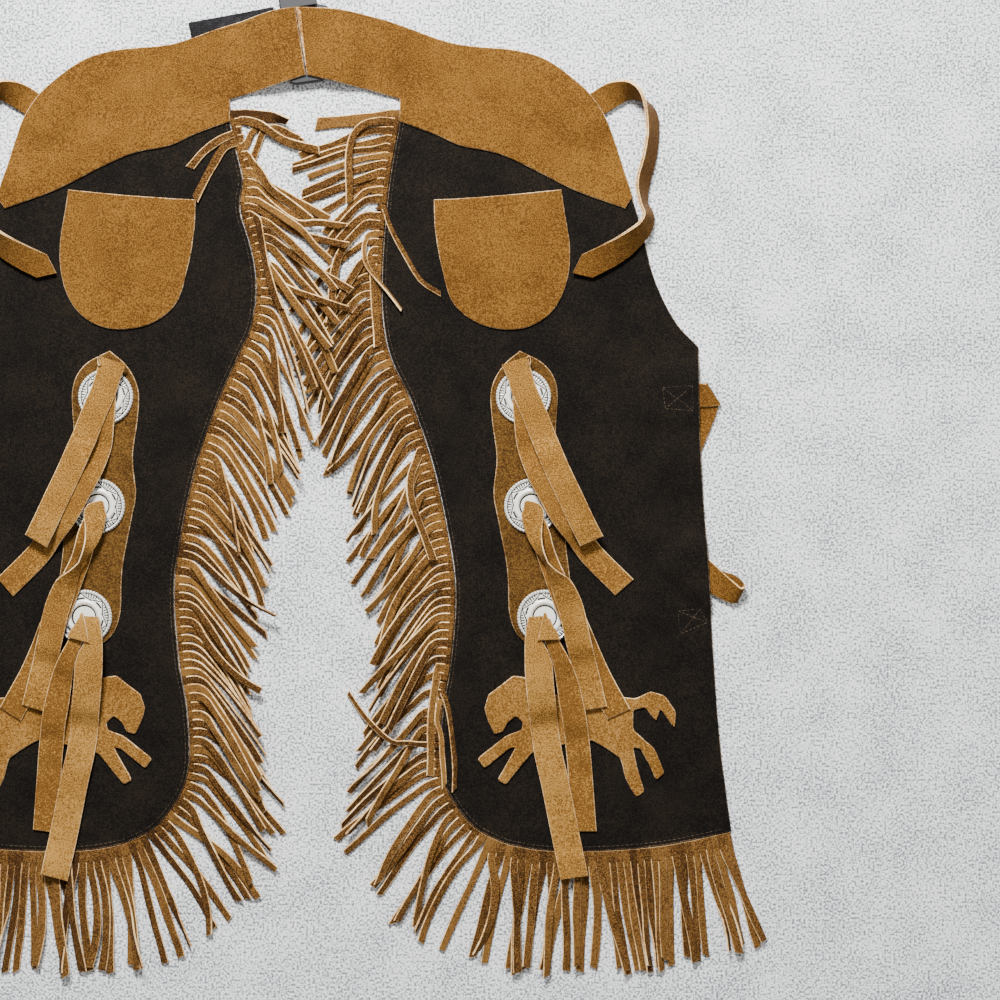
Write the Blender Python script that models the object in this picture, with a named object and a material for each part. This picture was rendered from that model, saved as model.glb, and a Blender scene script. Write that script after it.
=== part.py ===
"""Fringed suede chaps, laid flat on a surface. Two mirrored legs meet at the front of the belt."""
import math

import bmesh
import bpy
import numpy as np
from mathutils import Vector
from mathutils.geometry import delaunay_2d_cdt

# Sizes in millimetres. X runs across the chaps, Y up towards the belt, Z up from the surface.
MM = 0.001
SUEDE = 1.4
GAP = 0.3
LAYER = SUEDE + GAP
RIM_STEP = 12.0

# Leg panel of the right side, each edge a smooth run through its points: x, y
LEG_INNER = [(61.0, 264.0), (59.0, 250.0), (51.9, 208.0), (47.4, 155.0), (47.6, 118.0), (53.4, 88.6),
             (68.2, 56.5), (83.6, 10.9), (94.9, -42.7), (98.6, -78.0), (95.1, -125.0), (89.6, -158.0),
             (88.2, -196.0), (95.0, -218.0), (112.0, -240.0), (134.0, -251.5)]
LEG_HEM = [(134.0, -251.5), (160.0, -255.8), (200.0, -256.2), (245.0, -252.3), (291.4, -242.8)]
LEG_OUTER = [(291.4, -242.8), (284.9, -193.2), (280.4, -145.0), (275.4, -60.0), (270.4, 10.0),
             (268.5, 58.8), (268.5, 95.6)]
LEG_HIP = [(268.5, 95.6), (252.1, 113.8), (238.0, 142.0), (230.1, 172.0), (222.5, 198.0), (217.0, 206.0)]
LEG_TOP = [(217.0, 206.0), (182.0, 221.0), (130.5, 246.0), (95.0, 254.0), (61.0, 264.0)]
# How far the left leg's inner edge lies nearer the middle than the right one's mirror image: y, shift
LEFT_INNER_SHIFT = [(60, 0), (79, -1), (92, -0.3), (106, 3.3), (119, 4.8), (132, 5.5), (146, 5.4), (159, 4.0),
                    (173, 1.3), (186, -1.9), (194, -2.4), (200, -1.5), (213, 2.0), (228, 1.0), (245, 0)]

# Right yoke with its half of the belt: x, y
YOKE_UPPER = [(-12.9, 332.4), (13.3, 331.5), (40.0, 326.8), (68.0, 318.0), (98.7, 308.0), (142.7, 303.1),
              (167.0, 294.0), (191.9, 272.8), (206.0, 250.0), (217.0, 217.4), (222.3, 200.7)]
YOKE_TIP = [(222.3, 200.7), (217.0, 192.4)]
YOKE_LOWER = [(217.0, 192.4), (182.0, 205.2), (151.8, 220.4), (128.0, 231.0), (101.6, 236.6),
              (83.4, 244.7), (59.4, 253.4)]
YOKE_NOTCH = [(59.4, 253.4), (59.4, 269.2)]
BELT_LOWER = [(59.4, 269.2), (33.3, 276.5), (-4.9, 285.0)]
JOIN_RIGHT = [(-4.9, 285.0), (-12.9, 332.4)]
# The left belt end reaches across the middle of the chaps, up to the join
JOIN_LEFT = [(-13.4, 332.6), (-6.0, 285.2)]

# Pocket and concho strip of the right leg: x, y
POCKET_SIDE = [(83.2, 198.8), (84.3, 176.0), (89.0, 150.5), (97.0, 126.0), (115.0, 112.0), (137.0, 107.9),
               (155.0, 112.4), (168.5, 124.0), (176.6, 143.0), (178.2, 166.0), (174.3, 192.5), (172.4, 205.8)]
POCKET_MOUTH = [(172.4, 205.8), (140.0, 202.6), (106.0, 199.9), (83.2, 198.8)]
# The pocket stands off the panel most here: height, reach, y
POCKET_PUFF = 1.0
PUFF_REACH = 26.0
PUFF_Y = 185.0
TRIM_STEP = 9.0
MOUTH_STEP = 11.0
STRIP_EDGE = [(143.3, 93.2), (131.0, 82.0), (123.4, 66.0), (123.8, 45.0), (127.2, 18.0), (125.0, -7.0),
              (128.5, -27.0), (134.6, -60.0), (136.0, -90.0), (142.5, -106.5), (155.0, -113.8),
              (168.0, -110.5), (177.0, -98.0), (178.9, -72.0), (175.8, -45.0), (175.6, -25.0),
              (172.0, 2.0), (168.5, 31.0), (169.4, 66.0), (161.0, 83.0), (143.3, 93.2)]

# Running horse, drawn in its own box of 140 by 85: x, y from the lower left corner
HORSE_CORNER = (113.6, -219.0)
HORSE = [(12, 44), (18, 46), (21, 52), (27, 57), (32, 52), (31, 47), (20, 43), (0, 27), (5, 20),
         (22, 34), (27, 35), (14, 12), (20, 9), (29, 20), (38, 31), (56, 36), (80, 40), (92, 33),
         (100, 27), (104, 12), (111, 0), (117, 4), (112, 20), (109, 35), (114, 34), (121, 21),
         (125, 12), (131, 17), (124, 34), (109, 47), (109, 61), (117, 63), (125, 53), (128, 62),
         (138, 48), (139, 60), (131, 71), (121, 74), (111, 69), (101, 70), (80, 68), (58, 70),
         (44, 78), (33, 84), (25, 85), (16, 78), (8, 72), (5, 62), (8, 52)]

# Conchos: centre x, y; the turned profile below is radius, height above the strip
CONCHOS = [(145.9, 60.9), (151.6, -15.4), (160.7, -93.1)]
CONCHO_PROFILE = [(18.6, 0.0), (19.2, 0.9), (17.6, 2.0), (12.6, 1.6), (11.8, 2.8), (9.6, 2.7), (8.4, 1.7)]
CONCHO_SIDES = 24
CONCHO_TOP = max(height for _, height in CONCHO_PROFILE)
CONCHO_COVER = 19.6

# Lace ends in the order that they are laid: name, width, centre line x, y from the concho down
TIES = [
    ("tie_2_under", 17.5, [(150.5, -14.0), (157.0, -31.0), (161.0, -47.0), (167.5, -64.0), (176.0, -84.0),
                           (186.5, -108.0), (198.0, -134.0), (212.5, -160.8)]),
    ("tie_2_upper", 17.5, [(147.5, -12.0), (152.0, -20.0), (152.5, -30.0), (155.0, -41.0), (160.5, -52.0),
                           (166.6, -62.3), (172.2, -70.5), (177.2, -82.0), (180.3, -92.0), (184.0, -109.0),
                           (189.5, -131.5), (195.6, -156.8)]),
    ("tie_1_under", 17.0, [(143.5, 80.0), (144.2, 59.0), (146.3, 42.0), (149.0, 27.0), (155.5, 9.0),
                           (163.6, -5.7), (173.0, -22.0), (184.0, -36.0), (194.5, -50.3), (216.5, -72.3)]),
    ("tie_1_upper", 17.5, [(139.8, 86.0), (142.5, 77.7), (146.7, 64.4), (153.9, 47.8), (160.6, 30.5),
                           (168.7, 11.2), (178.9, -10.3), (186.9, -27.3), (193.4, -39.9)]),
    ("tie_3_under", 17.0, [(160.5, -95.0), (165.5, -112.0), (171.5, -126.0), (176.5, -142.0),
                           (181.0, -162.0), (184.5, -190.0), (188.5, -242.9)]),
    ("tie_3_upper", 19.5, [(156.3, -92.0), (157.0, -104.0), (156.4, -118.0), (156.8, -134.0),
                           (159.0, -156.0), (162.5, -184.0), (168.0, -209.3), (173.6, -237.3), (181.3, -274.7)]),
]

# Leg straps sewn under the outer edge, as stations: x, y, z and the half width's x, y, z
TURN = LAYER / 2
STRAP_1 = [(241.5, 61.0, 0.7, 0.0, 8.4, 0), (256.0, 61.3, 0.9, 0.0, 8.4, 0), (269.5, 62.0, 2.4, -1.0, 8.4, 0),
           (277.3, 62.3, 2.4, -5.05, 7.5, 0), (278.2, 62.9, TURN + 0.7, -5.05, 7.5, 0),
           (277.3, 62.3, 0.7, -5.05, 7.5, 0), (271.0, 47.0, 0.7, -7.8, 3.2, 0), (256.0, 10.5, 0.7, -7.8, 3.2, 0)]
STRAP_2 = [(260.0, -50.3, 2.4, 5.7, 6.4, 0), (271.0, -60.2, 2.4, 5.7, 6.4, 0),
           (280.6, -69.0, 3.4, 5.5, 6.4, 1.0), (288.6, -74.6, 4.9, 4.2, 6.0, 2.5),
           (294.6, -77.8, 5.6, 2.9, 5.4, 3.2), (297.6, -77.0, 4.2, 2.7, 6.0, 2.6),
           (296.4, -74.8, 2.2, 2.5, 6.8, 1.3), (290.5, -71.2, 1.0, 2.8, 7.7, 0.2),
           (282.0, -68.4, 0.7, 4.0, 7.3, 0), (268.0, -60.0, 0.7, 5.0, 6.8, 0), (258.0, -52.0, 0.7, 5.4, 6.5, 0)]

# How the leg panel rises over the leg straps: height, clear margin, falloff
STRAP_COVER = 17.0
STRAP_1_RISE = (3.6, 6.0, 16.0)
STRAP_1_BACK_RISE = (1.9, 7.0, 14.0)
STRAP_2_RISE = (4.2, 5.0, 10.0)
# Places on the leg panel that get finer points for that, and their spacing
FINE_SPOTS = [(256, 61), (262, 30), (274, -58)]
FINE_X = (-18, -6, 6)
FINE_Y = (-16, -5, 6, 17)
FINE_CLEAR = 16.0
PANEL_GRID = 44.0
YOKE_GRID = 13.0
POCKET_GRID = 18.0

# Hip strap, two layers thick, on edge where it loops out from under the yoke: x, y, height of its lower
# edge, lean in degrees; its outer edge is the upper one, and past 90 that leans in over the loop
HIP_STRAP = [(181.0, 257.0, 0.0, 0), (190.0, 262.0, 0.0, 0), (197.6, 265.8, 0.0, 0), (204.0, 269.8, 0.0, 5),
             (210.0, 272.6, 0.3, 24), (219.1, 273.8, 0.3, 52), (228.0, 269.3, 0.3, 88), (234.5, 258.6, 0.3, 116),
             (235.5, 243.2, 0.3, 118), (233.1, 226.5, 0.3, 120), (228.8, 209.7, 0.3, 120),
             (229.1, 196.1, 0.4, 109), (232.7, 187.2, 0.8, 114), (229.8, 178.2, 1.6, 124),
             (222.4, 170.9, 2.1, 136), (214.4, 164.8, 2.0, 148), (203.5, 158.5, 1.9, 160), (190.3, 152.1, 1.8, 170)]
HIP_STRAP_WIDTH = 17.5
HIP_STRAP_POINT = 11.0
HIP_STRAP_STEP = 12.0
DOUBLED = 2.6
# Length between the rings of a tie and the clear width beside it
BAND_STEP = 11.0
TIE_MARGIN = 0.6

# How the yoke rises over the leg panel, the hip strap, the webbing and the buckle: clear margin, falloff
OVER_PANEL = (2.5, 12.0)
OVER_STRAP = (2.0, 16.0)
OVER_WEBBING = (2.0, 14.0)
OVER_BUCKLE = (3.0, 34.0)

# Belt join: webbing centre line x, y and the buckle's centre, axis angle and sizes
WEBBING_THICK = 1.5
WEBBING_STEP = 14.0
WEBBING = [("webbing_left", 49.0, [(-84.0, 298.7), (-58.0, 303.5), (-24.6, 309.8)]),
           ("webbing_right", 46.0, [(22.0, 305.2), (36.0, 301.8), (50.0, 298.0)])]
BUCKLE_CENTRE = (-8.6, 311.3)
BUCKLE_TURN = 8.0
BUCKLE_THICK = 6.4
BUCKLE_SOCKET = [(-14.2, -18.5), (-12.0, -20.4), (12.0, -20.4), (12.0, -12.0), (-6.0, -12.0),
                 (-6.0, 12.0), (12.0, 12.0), (12.0, 20.4), (-12.0, 20.4), (-14.2, 18.5)]
BUCKLE_PLUG = [(-5.2, -11.2), (12.8, -11.2), (12.8, -21.2), (-12.6, -21.2), (-12.6, -28.0), (-11.4, -30.4),
               (-8.6, -31.4), (8.6, -31.4), (11.4, -30.4), (12.8, -28.0), (14.0, -22.0), (21.0, -19.5),
               (21.0, 19.5), (14.0, 22.0), (12.8, 28.0), (11.4, 30.4), (8.6, 31.4), (-8.6, 31.4),
               (-11.4, 30.4), (-12.6, 28.0), (-12.6, 21.2), (12.8, 21.2), (12.8, 11.2), (-5.2, 11.2)]

# Fringe: a strip sewn along the panel's edge, cut into strands that share its roots
STRIP_WIDTH = 6.0
FIRST_ROOT = 3.0
LAST_ROOT = 1.0
STRAND_WIDTH = 4.7
STRAND_THICK = 1.1
STRAND_GAP = 0.2
INNER_STRANDS = 88
HEM_STRANDS = 36
HEM_START = 14
STRAND_NODES = (0.0, 0.09, 0.26, 0.56, 1.0)
HEM_NODES = (0.0, 0.14, 0.5, 1.0)
STRAY_NODES = (0.0, 0.14, 0.32, 0.54, 0.77, 1.0)
BEND_LENGTH = 13.0
MOST_BEND = 72.0
STEEPEST = math.tan(math.radians(64))
LIGHTEST = 0.06
STRAY_STEEPEST = 0.5
SIDE_MARGIN = 0.12
LAY_ROUNDS = 160
CLOSE_ENOUGH = 0.01
HIGHEST = 6.5
# Turns that are tried in turn for a strand that would lie too high: middle and tip, or all of a stray
SLIDES = [(0, 0), (2.5, 3.5), (5, 7), (7.5, 10.5), (10, 14), (12.5, 17.5), (15, 21)]
STRAY_TURNS = [0, 3, -3, 6, -6, 9, -9]
SWAY = 6.0
HEM_SWAY = 6.0
JITTER = 1.2
DRIFT_REACH = 9
DRIFT_MIDDLE = 0.7
LENGTHS = (0.94, 1.05)
WIDTHS = (0.93, 1.05)
# Share of the strands that fell over the others, and how far they turn down and vary there
LOOSE_SHARE = 0.5
LOOSE_MIDDLE = 10.0
LOOSE_TIP = 14.0
LOOSE_LEAN = 0.22
LOOSE_DOWN = 7.0
LOOSE_WIDTH = 1.1

# How the strands hang: the root's y, then degrees from straight down at the middle and the tip, length
HANG_RIGHT = [(262, 88, 86, 60), (240, 74, 74, 76), (215, 62, 52, 78), (190, 52, 38, 78), (160, 46, 31, 79),
              (130, 42, 29, 78), (95, 40, 28, 79), (48, 38, 25, 77), (24, 40, 29, 78), (-20, 46, 34, 79),
              (-50, 46, 35, 78), (-92, 46, 35, 79), (-116, 47, 37, 79), (-180, 49, 39, 81), (-235, 44, 36, 81),
              (-250, 30, 22, 80)]
HANG_LEFT = [(262, 86, 84, 42), (244, 66, 66, 84), (228, 58, 52, 80), (200, 55, 48, 80), (184, 50, 38, 78),
             (150, 48, 38, 78), (128, 42, 30, 84), (95, 40, 27, 80), (48, 38, 25, 78), (10, 37, 25, 77),
             (-40, 42, 31, 76), (-90, 45, 34, 78), (-140, 47, 37, 80), (-200, 48, 38, 82), (-235, 44, 35, 80),
             (-250, 30, 20, 80)]
# Side, word in the names, hang of the inner fringe, and the seeds of the inner and hem fringe
SIDES = [(1, "right", HANG_RIGHT, (3, 35)), (-1, "left", HANG_LEFT, (45, 57))]
# Along the hem: the root's x, then degrees and length
HANG_HEM = [(100, 24, 22, 82), (140, 15, 12, 80), (190, 4, 3, 78), (235, -5, -6, 78), (262, -10, -13, 76),
            (276, -16, -20, 75), (290, -25, -31, 78)]

# Strands that leave the common run, in the order laid: side, number, width, points x, y after the root
STRAYS = [
    (1, 0, 8.6, [(42, 255.5), (21.7, 254.1), (0.7, 251.3)]),
    (1, 8, 5.0, [(35.7, 209.6), (28, 205.1), (16.1, 196.7), (-2.1, 184.8)]),
    (1, 9, 5.0, [(36.4, 204.4), (30.8, 199.5), (21.7, 190.4), (7, 175)]),
    (1, 2, 5.0, [(41.3, 247.1), (25.9, 243.6), (10.5, 236.6), (-10.5, 229.6)]),
    (1, 3, 4.8, [(39.9, 239.4), (24.5, 235.9), (7, 230.3), (-15.4, 222.6)]),
    (1, 4, 4.8, [(38.5, 233.8), (24.5, 232), (7, 226.8), (-16.1, 219.1)]),
    (1, 5, 4.6, [(38.5, 228.2), (24.5, 225.4), (10.5, 220.5), (-4.9, 214.2)]),
    (1, 6, 5.4, [(36.4, 221.9), (21.7, 217.7), (7, 210), (-9.1, 203)]),
    (1, 7, 5.8, [(37.1, 214.9), (24.5, 210), (9.1, 203.7), (-10.5, 196.7)]),
    (1, 10, 5.0, [(36.4, 198.8), (30.1, 194.6), (23.8, 187.6), (10.5, 170.8)]),
    (1, 12, 5.4, [(35.7, 187.6), (28.7, 184.1), (21.7, 176.4), (9.1, 159.6)]),
    (1, 13, 5.8, [(35.7, 180.6), (28.7, 171.5), (22.4, 159.6), (19.6, 142.8), (21.7, 107.8)]),
    (1, 1, 5.4, [(44.1, 253.7), (34.3, 251.3), (27.3, 243.6), (24.5, 230.3), (24.1, 212.8), (24.1, 196.7)]),
    (1, 11, 3.4, [(48.3, 193.2), (52.5, 181.3), (61.6, 162.4), (73.5, 142.8), (88.2, 133.3)]),
    (1, 16, 5.6, [(39.2, 158.9), (40.6, 146.3), (42.7, 121.8), (43.4, 95.9)]),
    (1, 14, 3.4, [(37.1, 173.6), (34.6, 165.2), (36.4, 154), (43.4, 143.5), (60.9, 121.8)]),
    (1, 40, 5.6, [(72, 18), (67.5, 4.2), (67.9, -11.2), (73.5, -28.7), (82.6, -53.2)]),
    (1, 75, 3.6, [(66, -182), (53.2, -182.5), (36, -170), (19.6, -151.9)]),
    (1, 66, 5.6, [(86, -130), (82, -160), (80.5, -204)]),
    (1, 70, 3.6, [(86.5, -152), (85, -165), (88.6, -176.2), (89.4, -192.5), (90.3, -211.4)]),
    (1, 68, 3.6, [(88.6, -144), (93.7, -161.2), (97.9, -191.1), (97.3, -214)]),
    (-1, 0, 8.6, [(46, 257.5), (32, 257), (18.5, 252.5)]),
    (-1, 4, 5.0, [(46.9, 239.4), (41.3, 247.8), (28, 247.8), (8.4, 238.7)]),
    (-1, 6, 5.0, [(44.1, 226.8), (39.9, 236.6), (35, 246.4), (25.9, 248.5), (10.5, 241.5)]),
    (-1, 1, 6.2, [(50, 254.0), (38, 251), (20, 239), (-3.5, 233)]),
    (-1, 2, 5.6, [(54.6, 245.7), (65.1, 241.5), (77, 232.4), (87.5, 221.2)]),
    (-1, 3, 5.6, [(53.9, 239.4), (63.7, 235.2), (71.4, 222.6), (78.4, 208.6), (83.3, 198.8)]),
    (-1, 8, 4.8, [(39.9, 208.6), (30.1, 199.5), (17.5, 190.4), (3.5, 182)]),
    (-1, 7, 5.6, [(40.6, 215.6), (31.5, 207.9), (17.5, 200.9), (-9.8, 184.8)]),
    (-1, 5, 5.8, [(44.1, 224.7), (37.1, 216.3), (30.8, 206.5), (17.5, 196.7), (2.1, 183.4)]),
    (-1, 9, 5.2, [(40.6, 204.4), (28, 193.2), (11.9, 182), (-2.1, 182), (-20.3, 179.9)]),
    (-1, 11, 5.2, [(38.5, 191.8), (28, 184.8), (10.5, 175), (-4.9, 170.8), (-23.1, 166.6)]),
    (-1, 10, 5.0, [(39.9, 197.8), (32.9, 193.2), (21, 185.5), (8.4, 177.1), (-0.7, 165.9), (-11.2, 155.4)]),
    (-1, 19, 4.8, [(32.9, 144.9), (22.4, 137.2), (9.1, 128.8), (-4.9, 122.5), (-22.4, 115.5)]),
    (-1, 17, 6.0, [(32.9, 154), (21.7, 144.2), (9.1, 130.2), (-4.9, 116.9), (-20.3, 102.9)]),
    (-1, 12, 5.2, [(38.5, 184.8), (35, 173.6), (29.4, 156.8), (21.7, 140.7), (13.3, 126.7)]),
]


def spline(points, samples=14):
    """Fine points on a smooth curve that passes through the given ones."""
    rows = np.array(points, float)
    rows = np.vstack([2 * rows[0] - rows[1], rows, 2 * rows[-1] - rows[-2]])
    t = np.linspace(0, 1, samples, endpoint=False)[:, None]
    parts = []
    for a, b, c, d in zip(rows, rows[1:], rows[2:], rows[3:]):
        parts.append(0.5 * (2 * b + (c - a) * t + (2 * a - 5 * b + 4 * c - d) * t ** 2
                            + (3 * b - a - 3 * c + d) * t ** 3))
    parts.append(rows[-2:-1])
    return np.vstack(parts)


def distances(line):
    steps = np.linalg.norm(np.diff(line, axis=0), axis=1)
    return np.concatenate([[0.0], np.cumsum(steps)])


def along(line, where):
    """Points at the given distances along a line."""
    total = distances(line)
    return np.column_stack([np.interp(where, total, line[:, k]) for k in range(line.shape[1])])


def evenly(line, step):
    total = distances(line)[-1]
    return along(line, np.linspace(0, total, max(1, round(total / step)) + 1))


def outline(*runs):
    """A closed outline from runs that share their end points."""
    return np.vstack([run[:-1] for run in runs])


def mirrored(points, side):
    """Points of the right side, moved to the asked side; side is 1 for right and -1 for left."""
    return np.array(points, float) * np.array([side] + [1] * (len(points[0]) - 1))


def inside(polygon, x, y):
    """True where a point lies in the polygon."""
    result = np.zeros(np.shape(x), bool)
    for (ax, ay), (bx, by) in zip(polygon, np.roll(polygon, -1, axis=0)):
        if ay == by:
            continue
        crosses = (ay > y) != (by > y)
        result ^= crosses & (x < (bx - ax) * (y - ay) / (by - ay) + ax)
    return result


def clearance(polygon, x, y):
    """Distance to the polygon, 0 inside it."""
    best = np.full(np.shape(x), 1e9)
    for a, b in zip(polygon, np.roll(polygon, -1, axis=0)):
        step = b - a
        t = np.clip(((x - a[0]) * step[0] + (y - a[1]) * step[1]) / max(step @ step, 1e-9), 0, 1)
        best = np.minimum(best, np.hypot(x - a[0] - t * step[0], y - a[1] - t * step[1]))
    return np.where(inside(polygon, x, y), 0.0, best)


def draped(covers):
    """Height of a cloth's underside over the pieces below it: polygon, height, clear margin, falloff."""
    def height(x, y):
        x = np.asarray(x, float)
        y = np.asarray(y, float)
        result = np.zeros(x.shape)
        for polygon, level, margin, falloff in covers:
            t = np.clip((clearance(polygon, x, y) - margin) / falloff, 0, 1)
            result = np.maximum(result, level * (1 - t * t * (3 - 2 * t)))
        return result
    return height


def box_round(points, width):
    """The outline of a band of the given width along a line, used as a cover."""
    line = np.array(points, float)[:, :2]
    ahead = np.gradient(line, axis=0)
    ahead /= np.linalg.norm(ahead, axis=1)[:, None]
    across = np.column_stack([-ahead[:, 1], ahead[:, 0]]) * width / 2
    return np.vstack([line + across, (line - across)[::-1]])


def turned(points, centre, degrees):
    angle = math.radians(degrees)
    spin = np.array([[math.cos(angle), -math.sin(angle)], [math.sin(angle), math.cos(angle)]])
    return np.array(points, float) @ spin.T + np.array(centre)


def material(name, colour, roughness, metallic=0.0):
    made = bpy.data.materials.new(name)
    made.use_nodes = True
    shader = made.node_tree.nodes["Principled BSDF"]
    shader.inputs["Base Color"].default_value = (*colour, 1)
    shader.inputs["Roughness"].default_value = roughness
    shader.inputs["Metallic"].default_value = metallic
    return made


FINISHES = {
    "dark": ((0.012, 0.008, 0.006), 0.95, 0.0),
    "tan": ((0.36, 0.18, 0.055), 0.92, 0.0),
    "webbing": ((0.012, 0.011, 0.011), 0.85, 0.0),
    "plastic": ((0.03, 0.03, 0.032), 0.4, 0.0),
    "metal": ((0.75, 0.74, 0.72), 0.3, 1.0),
}


def add(name, verts, faces, finish, smooth=False):
    """One closed body from points in millimetres."""
    mesh = bpy.data.meshes.new(name)
    mesh.from_pydata([tuple(float(value) * MM for value in point) for point in verts], [], faces)
    work = bmesh.new()
    work.from_mesh(mesh)
    bmesh.ops.recalc_face_normals(work, faces=work.faces)
    if work.calc_volume(signed=True) < 0:
        bmesh.ops.reverse_faces(work, faces=work.faces)
    work.to_mesh(mesh)
    work.free()
    mesh.materials.append(material(name, *FINISHES[finish]))
    piece = bpy.data.objects.new(name, mesh)
    bpy.context.scene.collection.objects.link(piece)
    if smooth:
        mesh.shade_smooth()
        mesh.set_sharp_from_angle(angle=math.radians(40))
    return piece


def grid_inside(rim, spacing):
    """Points in staggered rows inside a rim, clear of its edge."""
    low = rim.min(axis=0)
    high = rim.max(axis=0)
    points = []
    for row, y in enumerate(np.arange(low[1] + spacing / 2, high[1], spacing * 0.87)):
        start = low[0] + (0.25 if row % 2 else 0.75) * spacing
        for x in np.arange(start, high[0], spacing):
            points.append((x, y))
    points = np.array(points)
    edge = np.full(len(points), 1e9)
    for a, b in zip(rim, np.roll(rim, -1, axis=0)):
        step = b - a
        t = np.clip(((points - a) @ step) / max(step @ step, 1e-9), 0, 1)
        edge = np.minimum(edge, np.linalg.norm(points - a - t[:, None] * step, axis=1))
    keep = inside(rim, points[:, 0], points[:, 1]) & (edge > spacing * 0.45)
    return points[keep]


def panel(name, rim, extra, bottom, finish, thickness=SUEDE):
    """A wall of cloth with a closed rim, further points inside it and a shaped underside."""
    points = np.vstack([rim, extra]) if len(extra) else rim
    loop = [(k, (k + 1) % len(rim)) for k in range(len(rim))]
    flat = delaunay_2d_cdt([Vector(p) for p in points], loop, [list(range(len(rim)))], 1, 1e-5)
    flat_points = np.array([tuple(p) for p in flat[0]])
    low = bottom(flat_points[:, 0], flat_points[:, 1])
    count = len(flat_points)
    verts = np.vstack([np.column_stack([flat_points, low]), np.column_stack([flat_points, low + thickness])])
    faces = []
    edges = {}
    for face in flat[2]:
        faces.append([v + count for v in face])
        faces.append(list(face)[::-1])
        for a, b in zip(face, list(face[1:]) + [face[0]]):
            edges[(a, b)] = edges.get((a, b), 0) + 1
    for a, b in edges:
        if (b, a) not in edges:
            faces.append((a, b, b + count, a + count))
    return add(name, verts, faces, finish)


def flat_at(level):
    return lambda x, y: np.full(np.shape(x), float(level))


def ribbon(name, centres, halves, thickness, finish, point=0.0):
    """A strip of cloth along 3-D centres, with a half width vector at each of them."""
    centres = np.array(centres, float)
    halves = np.array(halves, float)
    ahead = np.gradient(centres, axis=0)
    normal = np.cross(ahead, halves)
    normal *= thickness / 2 / np.linalg.norm(normal, axis=1)[:, None]
    rings = []
    for c, h, n in zip(centres, halves, normal):
        rings.append([c - h - n, c + h - n, c + h + n, c - h + n])
    verts = [corner for ring in rings for corner in ring]
    faces = [(3, 2, 1, 0)]
    for k in range(len(rings) - 1):
        for j in range(4):
            m = (j + 1) % 4
            faces.append((4 * k + j, 4 * k + m, 4 * k + 4 + m, 4 * k + 4 + j))
    last = 4 * len(rings) - 4
    if point:
        tip = centres[-1] + ahead[-1] / np.linalg.norm(ahead[-1]) * point
        verts += [tip - normal[-1], tip + normal[-1]]
        low, high = len(verts) - 2, len(verts) - 1
        faces += [(last, last + 1, low), (last + 3, high, last + 2)]
        faces += [(last, low, high, last + 3), (last + 1, last + 2, high, low)]
    else:
        faces.append((last, last + 1, last + 2, last + 3))
    return add(name, verts, faces, finish)


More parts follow.
